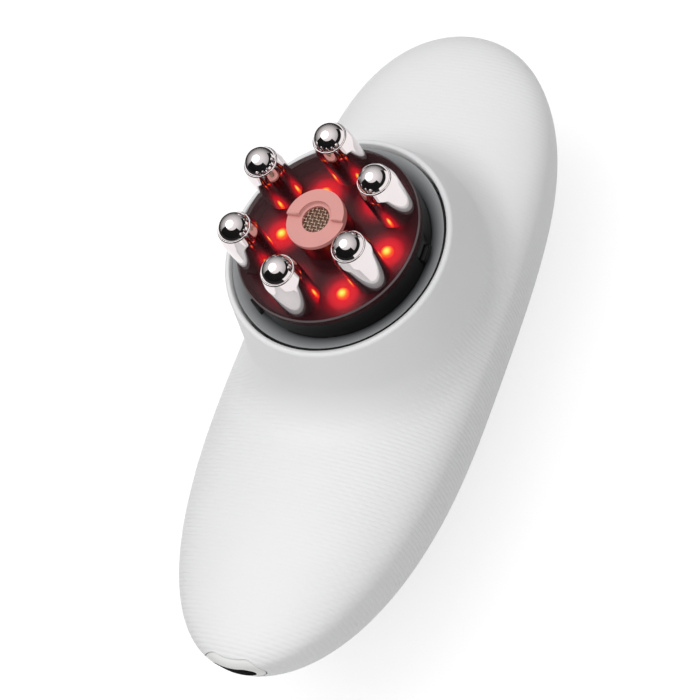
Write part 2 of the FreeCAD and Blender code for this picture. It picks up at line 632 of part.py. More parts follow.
def screw_caps():
    """Plugs over the cover screws, flush with the back."""
    skin = fixed("cap_skin", pebble(value("fit_gap")))
    height = f"{SCREW_SEAT} - screw_head_height - fit_gap"
    return group("screw_caps", [
        common(f"screw_cap_{i}", cylinder(f"plug_{i}", f"{HEAD_HOLE} - fit_gap", height, x, y, "0"), skin)
        for i, x, y in COVER_SCREWS])


# Seat of the head
def seat_ring():
    """Grey seat of the head: a sloping ring, a bore with bayonet grooves and a floor."""
    groove_low = f"({TAB_TOP} - tab_height - tab_gap)"
    groove_radius = f"({TAB_RADIUS} + tab_gap)"
    ring = turned("seat_ring_blank", [
        ("cable_hole_radius", SEAT_BOTTOM), ("seat_radius", SEAT_BOTTOM), ("seat_radius", f"{RIM} - seat_gap"),
        ("puck_radius + spigot_gap", LEDGE), (BORE, LEDGE), (BORE, FLOOR_TOP),
        ("cable_hole_radius", FLOOR_TOP)])
    tools = []
    for i in range(TAB_COUNT):
        start = f"{BETWEEN_POSTS} + {i * 360 // TAB_COUNT} - tab_angle / 2 - tab_slack"
        tools.append(sector(f"groove_{i}", groove_radius, "tab_height + 2 * tab_gap",
                            "tab_angle + twist_angle + 2 * tab_slack", start, groove_low))
        tools.append(sector(f"entry_{i}", groove_radius, f"{LEDGE} - {groove_low} + ledge_gap",
                            "tab_angle + 2 * tab_slack", f"{start} + twist_angle", groove_low))
    tools += [cylinder(f"ring_screw_hole_{i}", SHANK_HOLE, "seat_screw_bite + fit_gap", x, y, SEAT_BOTTOM)
              for i, x, y in SEAT_SCREWS]
    return cut("seat_ring", ring, *tools)


def seat_screws():
    return group("seat_screws", [
        screw(f"seat_screw_{i}", "screw_shank_radius", "seat_screw_grip + seat_screw_bite",
              "screw_head_radius", "screw_head_height", x, y, f"({SEAT_BOTTOM} - seat_screw_grip)")
        for i, x, y in SEAT_SCREWS])


def contact_block():
    """Block on the seat's floor that holds the spring pins."""
    holes = [cylinder(f"pin_hole_{i}", "pin_radius + fit_gap", "2 * block_height", x, y,
                      f"{FLOOR_TOP} - block_height / 2") for i, x, y in PINS]
    return cut("contact_block", head_disc("block_blank", "block_radius", "block_height", FLOOR_TOP), *holes)


def contact_pins():
    return group("contact_pins", [
        cylinder(f"contact_pin_{i}", "pin_radius", "block_height + pin_height", x, y, FLOOR_TOP)
        for i, x, y in PINS])


# Main board, charging port and battery
def main_board():
    """Printed board with a narrow end under the charging socket."""
    narrow_start = f"({TAIL} + bezel_depth + window_gap)"
    narrow_end = "(main_board_start + board_thickness)"
    wide = box("board_wide", "main_board_width", "main_board_end - main_board_start", "board_thickness",
               "0", "(main_board_start + main_board_end) / 2", MAIN_BOTTOM)
    narrow = box("board_narrow", "tongue_width", f"{narrow_end} - {narrow_start}", "board_thickness", "0",
                 f"({narrow_end} + {narrow_start}) / 2", MAIN_BOTTOM)
    holes = [cylinder(f"board_hole_{i}", BOARD_SHANK_HOLE, "2 * board_thickness", x, y,
                      f"{MAIN_BOTTOM} - board_thickness / 2") for i, x, y in BOARD_SCREWS]
    return cut("main_board", fuse("board_blank", wide, narrow), *holes)


def board_screws():
    return group("board_screws", [
        screw(f"board_screw_{i}", "board_screw_radius", "board_thickness + board_screw_bite",
              "board_screw_head", "board_thickness", x, y, MAIN_BOTTOM) for i, x, y in BOARD_SCREWS])


def boost_transformer():
    """Step-up transformer under the board: a core with a winding between its limbs."""
    low = f"{MAIN_BOTTOM} - coil_height"
    core = box("coil_core", "coil_side", "coil_side", "coil_height", "0", "coil_y", low)
    window = box("coil_window", "2 * coil_side", "coil_side - 2 * coil_limb", "coil_height - 2 * coil_limb",
                 "0", "coil_y", f"{low} + coil_limb")
    winding = cylinder("coil_winding", "coil_radius", "coil_side", "-coil_side / 2", "coil_y",
                       f"{MAIN_BOTTOM} - coil_height / 2", ALONG_X)
    return fuse("boost_transformer", cut("coil_frame", core, window), winding)


def control_chip():
    return box("control_chip", "chip_side", "chip_side", "chip_height", "0", "chip_y",
               f"{MAIN_BOTTOM} - chip_height")


def usb_socket():
    """Charging socket: a sheet shell with a contact tongue."""
    front = f"({TAIL} + wall)"
    depth = "(socket_length - socket_wall)"
    shell = obround("socket_outside", "socket_width / 2", "(socket_height / 2)", "socket_length", "0", front,
                    PORT, ALONG_Y)
    hollow = obround("socket_inside", "socket_width / 2 - socket_wall", "(socket_height / 2 - socket_wall)",
                     depth, "0", front, PORT, ALONG_Y)
    tongue = box("socket_tongue", "socket_width - socket_height", depth, "tongue_thickness", "0",
                 f"{front} + (socket_length + socket_wall) / 2", f"{PORT} - tongue_thickness / 2")
    return fuse("usb_socket", cut("socket_shell", shell, hollow), tongue)


def port_bezel():
    """Bezel of the charging port, flush with the tail."""
    plug = obround("bezel_plug", "bezel_half_length", "(bezel_half_width)", "2 * bezel_depth", "0",
                   f"{TAIL} - bezel_depth", PORT, ALONG_Y)
    slot = obround("bezel_slot", "slot_half_length", "(slot_half_width)", "4 * bezel_depth", "0",
                   f"{TAIL} - 2 * bezel_depth", PORT, ALONG_Y)
    return cut("port_bezel", common("bezel_blank", plug, fixed("bezel_skin", pebble(0))), slot)


def battery_cell():
    return cylinder("battery_cell", "cell_radius", "cell_length", "0", "cell_y - cell_length / 2", CELL_HEIGHT,
                    ALONG_Y)


def battery_strips():
    """Nickel strips on both ends of the cell."""
    return group("battery_strips", [
        box(f"battery_strip_{i}", "strip_width", "strip_thickness", "cell_radius", "0",
            f"cell_y + {side} * (cell_length + strip_thickness) / 2", CELL_HEIGHT)
        for i, side in ((1, -1), (2, 1))])


# Buttons
def button_plate():
    """Plate in the side window with the button holes, a flange behind the shell and two standoffs."""
    face = obround("plate_front", PLATE_END, "(plate_half_width)", "plate_depth", PLATE_FACE, "button_y",
                   "button_height", ALONG_X)
    flange = obround("plate_back", f"{EAR} + flange_margin", "(plate_half_width + flange_margin)",
                     "plate_flange", PLATE_BACK, "button_y", "button_height", ALONG_X)
    standoffs = [across(f"standoff_{i}", "standoff_radius", f"{BUTTON_BOARD} - {FLANGE_BACK}", FLANGE_BACK, y)
                 for i, y in BUTTON_SCREWS]
    holes = across_holes("hole_of", "button_radius + button_gap", BUTTONS)
    holes += across_holes("plate_hole", BUTTON_SHANK_HOLE, BUTTON_SCREWS)
    holes += across_holes("pipe_hole", "pipe_radius + fit_gap", [(1, PIPE_Y)])
    return cut("button_plate", fuse("plate_blank", face, flange, *standoffs), *holes)


def push_button(name, y):
    """A button: its cap through the plate and the collar that keeps it in."""
    front = f"({PLATE_FACE} - button_stand)"
    return fuse(name, across(name + "_cap", "button_radius", f"{BUTTON_BACK} - {front}", front, y),
                across(name + "_keeper", "button_radius + button_flange", "button_flange",
                       f"{BUTTON_BACK} - button_flange", y))


def button_board():
    """Printed board behind the buttons."""
    blank = box("button_board_blank", "board_thickness", f"2 * ({EAR} + flange_margin)", "2 * plate_half_width",
                f"{BUTTON_BOARD} + board_thickness / 2", "button_y", "button_height - plate_half_width")
    return cut("button_board", blank, *across_holes("button_board_hole", BUTTON_SHANK_HOLE, BUTTON_SCREWS))


def button_screws():
    head = f"({BUTTON_BOARD} + board_thickness)"
    tip = f"({PLATE_BACK} - button_screw_bite)"
    return group("button_screws", [
        fuse(f"button_screw_{i}", across(f"button_shank_{i}", "button_screw_radius", f"{head} - {tip}", tip, y),
             across(f"button_head_{i}", "button_screw_head", "board_thickness", head, y))
        for i, y in BUTTON_SCREWS])


def push_switches():
    return group("push_switches", [
        fuse(f"switch_of_{name}",
             box(f"{name}_switch_body", "switch_body", "switch_side", "switch_side",
                 f"{BUTTON_BOARD} - switch_body / 2", y, "button_height - switch_side / 2"),
             across(f"{name}_plunger", "plunger_radius", "plunger_height + switch_body / 2", PLUNGER_TIP, y))
        for name, y in BUTTONS])


def light_pipe():
    return across("light_pipe", "pipe_radius", f"{BUTTON_BOARD} - {PLATE_FACE} - press_gap", PLATE_FACE, PIPE_Y)


# Twist-lock head
def head_cup():
    """Black cup of the head with its spigot, bayonet tabs and grip lugs."""
    step = f"({SPIGOT_BOTTOM} + base_thickness)"
    inner = "puck_radius - puck_wall"
    blank = turned("cup_blank", [
        ("cable_hole_radius", PUCK_BOTTOM), (BASE_BORE, PUCK_BOTTOM), (BASE_BORE, step), (SPIGOT_BORE, step),
        (SPIGOT_BORE, SPIGOT_BOTTOM), ("spigot_radius", SPIGOT_BOTTOM), ("spigot_radius", PUCK_BOTTOM),
        ("puck_radius", PUCK_BOTTOM), ("puck_radius", LENS_BOTTOM), (inner, LENS_BOTTOM), (inner, BOARD_BOTTOM),
        ("cable_hole_radius", BOARD_BOTTOM)])
    lug_arc = "(lug_length / puck_radius * 180 / pi)"
    tabs = []
    for i in range(TAB_COUNT):
        middle = f"{BETWEEN_POSTS} + {i * 360 // TAB_COUNT}"
        tabs.append(sector(f"tab_{i}", TAB_RADIUS, "tab_height", "tab_angle", f"{middle} - tab_angle / 2",
                           f"{TAB_TOP} - tab_height"))
    lug_places = ("lug_angle", "lug_angle - lug_spread", "lug_angle + 180 - lug_spread / 2")
    lugs = [sector(f"lug_{i}", "puck_radius + lug_reach", "lug_height", lug_arc, f"{middle} - {lug_arc} / 2",
                   f"{PUCK_BOTTOM} + lug_lift") for i, middle in enumerate(lug_places, 1)]
    tab_core = head_disc("tab_core", "spigot_radius - spigot_wall / 2", FAR, "0")
    lug_core = head_disc("lug_core", "puck_radius - puck_wall / 2", FAR, "0")
    solid = fuse("cup_with_tabs", blank, cut("tab_arcs", fuse("tabs", *tabs), tab_core),
                 cut("lug_arcs", fuse("lugs", *lugs), lug_core))
    holes = [cylinder(f"cup_hole_{i}", POST_SHANK_HOLE, "2 * cup_floor", x, y, f"{PUCK_BOTTOM} - cup_floor / 2")
             for i, x, y in POSTS]
    return cut("head_cup", solid, *holes)


def head_lens():
    """Smoked window over the lamps."""
    bore = "pillar_radius + fit_gap"
    blank = turned("lens_blank", [
        (bore, LENS_BOTTOM), ("puck_radius", LENS_BOTTOM), ("puck_radius", "head_top - lens_bevel"),
        ("puck_radius - lens_bevel", "head_top"), (bore, "head_top")])
    holes = [cylinder(f"lens_hole_{i}", "stud_radius + fit_gap", "2 * lens_thickness", x, y,
                      f"{LENS_BOTTOM} - lens_thickness / 2") for i, x, y in POSTS]
    return cut("head_lens", blank, *holes)


def lamp_board():
    """Round printed board that carries the lamps."""
    edge = "puck_radius - puck_wall - fit_gap"
    blank = turned("lamp_board_blank", [
        ("cable_hole_radius", BOARD_BOTTOM), (edge, BOARD_BOTTOM), (edge, BOARD_TOP),
        ("cable_hole_radius", BOARD_TOP)])
    holes = [cylinder(f"lamp_board_hole_{i}", POST_SHANK_HOLE, "2 * board_thickness", x, y,
                      f"{BOARD_BOTTOM} - board_thickness / 2") for i, x, y in POSTS]
    return cut("lamp_board", blank, *holes)


def red_lamps():
    return group("red_lamps", [
        box(f"red_lamp_{i}", "lamp_side", "lamp_side", "lamp_height", x, y, BOARD_TOP)
        for i, x, y in around(POST_COUNT, "lamp_radius", BETWEEN_POSTS)])


def head_base():
    """Plate that closes the head underneath."""
    return head_disc("head_base", f"{SPIGOT_BORE} - fit_gap", "base_thickness", SPIGOT_BOTTOM)


def head_contacts():
    """Two contact rings under the base plate."""
    low = f"{SPIGOT_BOTTOM} - contact_thickness"
    rings = []
    for name, radius in (("inner", "contact_inner_radius"), ("outer", "contact_outer_radius")):
        disc = head_disc(f"{name}_ring_disc", f"{radius} + contact_width / 2", "contact_thickness", low)
        hole = head_disc(f"{name}_ring_hole", f"{radius} - contact_width / 2", "contact_thickness", low)
        rings.append(cut(f"{name}_contact_ring", disc, hole))
    return group("head_contacts", rings)


# Electrodes and centre pillar
def electrode_post(number, x, y):
    """Electrode post with its foot through the window and a cup for the ball."""
    name = f"electrode_post_{number}"
    column = cylinder(name + "_column", "post_radius", "ball_height - shoulder_height", x, y, "head_top")
    shoulder = cone(name + "_shoulder", "post_radius", "ball_radius + ball_gap + lip_thickness",
                    "shoulder_height + lip_height", x, y, f"{BALL_CENTRE} - shoulder_height")
    foot = cylinder(name + "_foot", "stud_radius", f"head_top - {BOARD_TOP}", x, y, BOARD_TOP)
    cup = sphere(name + "_cup", "ball_radius + ball_gap", x, y, BALL_CENTRE)
    hole = cylinder(name + "_hole", POST_SHANK_HOLE, "post_screw_bite + fit_gap", x, y, BOARD_TOP)
    return cut(name, fuse(name + "_blank", column, shoulder, foot), cup, hole)


def post_screws():
    return group("post_screws", [
        screw(f"post_screw_{i}", "post_screw_radius", "cup_floor + board_thickness + post_screw_bite",
              "post_screw_head", "board_thickness", x, y, PUCK_BOTTOM) for i, x, y in POSTS])


def centre_pillar():
    """Hollow pillar in the middle of the head with a pocket for the felt pad."""
    bore = "pillar_radius - pillar_wall"
    pocket = "mesh_radius + fit_gap"
    shelf = f"{PILLAR_TOP} - pad_thickness"
    return turned("centre_pillar", [
        (bore, BOARD_TOP), ("pillar_radius", BOARD_TOP), ("pillar_radius", PILLAR_TOP), (pocket, PILLAR_TOP),
        (pocket, shelf), ("0", shelf), ("0", f"{shelf} - pillar_wall"), (bore, f"{shelf} - pillar_wall")])


def centre_cap():
    """Disc on the pillar, one half a step higher round a half-round cut, with a hole for the screen."""
    disc = head_disc("cap_disc", "cap_radius", "cap_thickness", PILLAR_TOP)
    half = sector("cap_half", "cap_radius", "cap_step", "180", "0", CAP_FACE)
    raised = cut("cap_raised", half, head_disc("cap_cutout", "cap_cutout_radius", "2 * cap_step", CAP_FACE))
    return cut("centre_cap", fuse("cap_levels", disc, raised),
               head_disc("cap_hole", "mesh_radius + fit_gap", FAR, "0"))


def mesh_screen():
    return head_disc("mesh_screen", "mesh_radius", "mesh_thickness", f"{CAP_FACE} - mesh_sink - mesh_thickness")


def felt_pad():
    return head_disc("felt_pad", "mesh_radius", "pad_thickness", f"{PILLAR_TOP} - pad_thickness")


NODES = [
    front_shell(), head_collar(), rear_cover(), shell_seal(), cover_screws(), screw_caps(),
    seat_ring(), seat_screws(), contact_block(), contact_pins(),
    main_board(), board_screws(), boost_transformer(), control_chip(), usb_socket(), port_bezel(),
    battery_cell(), battery_strips(),
    button_plate(), button_board(), button_screws(), push_switches(), light_pipe(),
    head_cup(), head_lens(), lamp_board(), red_lamps(), head_base(), head_contacts(), post_screws(),
    centre_pillar(), centre_cap(), mesh_screen(), felt_pad(),
]
NODES += [push_button(name, y) for name, y in BUTTONS]
NODES += [electrode_post(i, x, y) for i, x, y in POSTS]
NODES += [sphere(f"ball_{i}", "ball_radius", x, y, BALL_CENTRE) for i, x, y in POSTS]

doc.recompute()
for thing in doc.Objects:
    if "Invalid" in thing.State or "Error" in thing.State:
        raise RuntimeError(f"{thing.Label} failed: {thing.State}")
for node in NODES:
    if node.Shape.isNull() or not node.Shape.isValid() or not node.Shape.Solids:
        raise RuntimeError(f"{node.Label} has no sound solid")

os.makedirs("parts", exist_ok=True)
for node in NODES:
    node.Shape.exportStep(f"parts/{node.Label}.step")
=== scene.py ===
"""Looks of a hand-held electric muscle stimulator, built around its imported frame."""

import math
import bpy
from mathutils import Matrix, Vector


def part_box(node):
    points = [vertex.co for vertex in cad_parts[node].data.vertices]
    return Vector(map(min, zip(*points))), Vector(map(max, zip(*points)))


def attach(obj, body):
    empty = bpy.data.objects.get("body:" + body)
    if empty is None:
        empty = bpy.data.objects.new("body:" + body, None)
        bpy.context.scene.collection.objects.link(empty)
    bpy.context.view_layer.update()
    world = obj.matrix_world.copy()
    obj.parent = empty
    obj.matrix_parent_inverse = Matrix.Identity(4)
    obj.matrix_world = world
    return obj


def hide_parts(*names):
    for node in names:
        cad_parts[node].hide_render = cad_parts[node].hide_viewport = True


bl_info = {
    "name": "Muscle stimulator",
    "version": (1, 0, 0),
    "blender": (4, 5, 0),
    "location": "3D View > Sidebar > Stimulator",
    "description": "Builds the pieces, finishes and studio of a hand-held electric muscle stimulator",
    "category": "Object",
}

import bmesh
import bpy
from bpy.props import FloatProperty, FloatVectorProperty, IntProperty, PointerProperty
from mathutils import Matrix, Vector
from mathutils.geometry import intersect_point_line

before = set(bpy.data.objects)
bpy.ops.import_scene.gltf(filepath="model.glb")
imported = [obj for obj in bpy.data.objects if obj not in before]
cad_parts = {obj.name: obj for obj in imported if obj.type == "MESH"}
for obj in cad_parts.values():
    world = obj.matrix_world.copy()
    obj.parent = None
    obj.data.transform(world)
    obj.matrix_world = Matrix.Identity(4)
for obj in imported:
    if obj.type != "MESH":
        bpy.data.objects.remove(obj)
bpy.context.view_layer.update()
MM = 0.001


def middle_of(node):
    """The middle of a node's box at rest."""
    low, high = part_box(node)
    return (low + high) / 2


def span_of(node):
    """The size of a node's box at rest."""
    low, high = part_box(node)
    return high - low


def round_the_head(radius, angle):
    """A point at floor level, at a radius and an angle round the head's axis."""
    return HEAD_AXIS + Vector((radius * math.cos(angle), radius * math.sin(angle), 0))


# Places and sizes read from the frame, in metres
HEAD = middle_of("head_lens")
HEAD_AXIS = Vector((HEAD.x, HEAD.y, 0))
HEAD_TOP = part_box("head_lens")[1].z
COLLAR_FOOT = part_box("head_collar")[0].z
SEAT_RADIUS = span_of("seat_ring").x / 2
PUCK_RADIUS = span_of("head_lens").x / 2
POSTS = [f"electrode_post_{i}" for i in range(1, 7)]
BALLS = [f"ball_{i}" for i in range(1, 7)]
BALL_RADIUS = span_of("ball_1").x / 2
FIRST_POST = middle_of("ball_1") - HEAD
PITCH_RADIUS = FIRST_POST.xy.length
FIRST_ANGLE = math.atan2(FIRST_POST.y, FIRST_POST.x)
SIXTH = math.pi / 3
LAMP_SIDE = 1.5 * MM
LAMP_RADIUS = max(span_of("red_lamps").xy) / 2 - LAMP_SIDE
LAMPS = [round_the_head(LAMP_RADIUS, FIRST_ANGLE + SIXTH * (k - 0.5)) for k in range(6)]

# How close points are merged in new pieces and in the frame's forms, in metres
DOUBLES = 1e-7
WELD = 4e-6
# Steps round the turned pieces
POST_STEPS = 48
LAMP_STEPS = 32
BUTTON_STEPS = 64


# Colours and nodes
def linear(code):
    """An sRGB hex colour as linear red, green, blue and alpha."""
    parts = [int(code[i:i + 2], 16) / 255 for i in (1, 3, 5)]
    return tuple(c / 12.92 if c <= 0.04045 else ((c + 0.055) / 1.055) ** 2.4 for c in parts) + (1.0,)


def shades(low, high):
    """A darker and a lighter sRGB hex colour, as linear ones."""
    return linear(low), linear(high)


def near(colour, spread=0.95):
    """A colour of the settings, after one a little darker."""
    return (*(part * spread for part in colour), 1.0), (*colour, 1.0)


def add(tree, kind, *terms, inputs=None, stops=(), **settings):
    """Adds a node with its settings, and its inputs in order or by name.

    An input is a value, or a socket or node to link. Stops are the places and colours of a colour ramp."""
    node = tree.nodes.new(kind)
    for name, setting in settings.items():
        setattr(node, name, setting)
    for index, (place, colour) in enumerate(stops):
        elements = node.color_ramp.elements
        element = elements[index] if index < len(elements) else elements.new(place)
        element.position, element.color = place, colour
    for socket, term in (*enumerate(terms), *(inputs or {}).items()):
        if isinstance(term, bpy.types.Node):
            term = term.outputs[0]
        if isinstance(term, bpy.types.NodeSocket):
            tree.links.new(term, node.inputs[socket])
        else:
            node.inputs[socket].default_value = term
    return node


MATH = "ShaderNodeMath"
VECTOR = "ShaderNodeVectorMath"
SPLIT = "ShaderNodeSeparateXYZ"
COMBINE = "ShaderNodeCombineXYZ"
RAMP = "ShaderNodeValToRGB"
RANGE = "ShaderNodeMapRange"
NOISE = "ShaderNodeTexNoise"
BUMP = "ShaderNodeBump"
COORDINATES = "ShaderNodeTexCoord"
# Where a cloudy pattern turns from its darker to its lighter shade
SHADE_STOPS = (0.3, 0.7)
# How far a finish's gloss drifts, as a share of its roughness, and how many grains its clouds span
GLOSS_DRIFT = 0.15
CLOUD_SPAN = 40


def new_material(name, sockets=None):
    """An empty material with a principled shader whose plain sockets are set."""
    material = bpy.data.materials.new(name)
    material.use_nodes = True
    tree = material.node_tree
    tree.nodes.clear()
    shader = add(tree, "ShaderNodeBsdfPrincipled", inputs=sockets)
    add(tree, "ShaderNodeOutputMaterial", shader)
    return material, tree, shader


def surface(name, pair, roughness, grain, depth, sockets=None):
    """A finish of two close shades with a drifting gloss and a relief.

    The size of its grain and the depth of its relief are in millimetres."""
    material, tree, shader = new_material(name, sockets)
    place = add(tree, COORDINATES).outputs["Object"]
    size = grain * MM
    fine = add(tree, NOISE, inputs={"Vector": place, "Scale": 1 / size, "Detail": 3.0})
    broad = add(tree, NOISE, inputs={"Vector": place, "Scale": 1 / (size * CLOUD_SPAN), "Detail": 2.0})
    colour = add(tree, RAMP, broad, stops=tuple(zip(SHADE_STOPS, pair)))
    gloss = add(tree, RANGE, broad, inputs={
        "To Min": roughness * (1 - GLOSS_DRIFT), "To Max": roughness * (1 + GLOSS_DRIFT)})
    relief = add(tree, BUMP, inputs={"Strength": 0.5, "Distance": depth * MM, "Height": fine.outputs[0]})
    for socket, source in (("Base Color", colour), ("Roughness", gloss), ("Normal", relief)):
        tree.links.new(source.outputs[0], shader.inputs[socket])
    return material


# Finishes, each named for its material and how its surface was made
def textured_white_abs():
    """ABS moulded in a grained tool: satin white, with fine rows of dashes that catch the light.

    The rows are drawn about twice as wide as such a grain is, so that they show in a picture of the whole.
    They end below the collar and are fainter towards the head's end."""
    material, tree, shader = new_material("textured_white_abs", {"IOR": 1.5, "Roughness": 0.42})
    pitch = look().row_pitch
    dash_length = pitch * 4
    place = add(tree, COORDINATES).outputs["Object"]
    x, y, z = add(tree, SPLIT, place).outputs
    along = add(tree, MATH, y, pitch, operation="DIVIDE")
    across = add(tree, MATH, x, z, operation="SUBTRACT")
    girth = add(tree, MATH, across, dash_length, operation="DIVIDE")
    row = add(tree, MATH, along, operation="FLOOR")
    staggered = add(tree, MATH, row, 0.5, girth, operation="MULTIPLY_ADD")
    waves = []
    for way in (along, staggered):
        angle = add(tree, MATH, way, math.pi, operation="MULTIPLY")
        wave = add(tree, MATH, angle, operation="SINE")
        waves.append(add(tree, MATH, wave, operation="ABSOLUTE"))
    ridge, dash = waves
    broken = add(tree, MATH, dash, 0.6, 0.4, operation="MULTIPLY_ADD")
    rows = add(tree, MATH, ridge, broken, operation="MULTIPLY")
    below = add(tree, RANGE, z, inputs={
        "From Min": COLLAR_FOOT + 0.5 * MM, "From Max": COLLAR_FOOT - 4.5 * MM})
    handle = add(tree, RANGE, y, inputs={
        "From Min": HEAD.y - 10 * MM, "From Max": HEAD.y + 30 * MM, "To Min": 1.0, "To Max": 0.25})
    shown = add(tree, MATH, below, handle, operation="MULTIPLY")
    height = add(tree, MATH, rows, shown, operation="MULTIPLY")
    relief = add(tree, BUMP, inputs={"Strength": 0.9, "Distance": 0.12 * MM, "Height": height})
    cloud = add(tree, NOISE, inputs={"Vector": place, "Scale": 1 / (33 * MM), "Detail": 2.0})
    colour = add(tree, RAMP, cloud, stops=tuple(zip(SHADE_STOPS, near(look().shell_colour, 0.97))))
    tree.links.new(relief.outputs[0], shader.inputs["Normal"])
    tree.links.new(colour.outputs[0], shader.inputs["Base Color"])
    return material


def polycarbonate_with_painted_shade():
    """Satin moulded polycarbonate: light grey at the rim, with painted shade that darkens it towards the
    head's cup.
    """
    material = surface("satin_polycarbonate_painted_shade", near(look().seat_colour), 0.3, 0.25, 0.004)
    tree = material.node_tree
    place = add(tree, COORDINATES).outputs["Object"]
    flat = add(tree, VECTOR, place, (1.0, 1.0, 0.0), operation="MULTIPLY")
    away = add(tree, VECTOR, flat, HEAD_AXIS, operation="DISTANCE").outputs["Value"]
    share = add(tree, RANGE, away, inputs={"From Min": PUCK_RADIUS, "From Max": SEAT_RADIUS})
    # Painted shade: the ring turns dark next to the cup, for the shadow and the dark reflection that the cup
    # gives it
    colour = add(tree, RAMP, share, stops=(
        (0.0, linear("#4e4f51")), (0.5, linear("#999b9d")), (1.0, (*look().seat_colour, 1.0))))
    shader = next(node for node in tree.nodes if node.type == "BSDF_PRINCIPLED")
    tree.links.new(colour.outputs[0], shader.inputs["Base Color"])
    return material


def glowing(name, base, reach, stops, strength, roughness):
    """A finish that gives off light round each lamp, with colours at shares of a reach in metres."""
    material, tree, shader = new_material(name, {
        "Base Color": linear(base), "Roughness": roughness, "Emission Strength": strength})
    place = add(tree, COORDINATES).outputs["Object"]
    flat = add(tree, VECTOR, place, (1.0, 1.0, 0.0), operation="MULTIPLY")
    gaps = [add(tree, VECTOR, flat, lamp, operation="DISTANCE").outputs["Value"] for lamp in LAMPS]
    nearest = gaps[0]
    for gap in gaps[1:]:
        nearest = add(tree, MATH, nearest, gap, operation="MINIMUM")
    share = add(tree, MATH, nearest, reach, operation="DIVIDE")
    light = add(tree, RAMP, share, stops=[(stop, linear(code)) for stop, code in stops])
    tree.links.new(light.outputs[0], shader.inputs["Emission Color"])
    return material


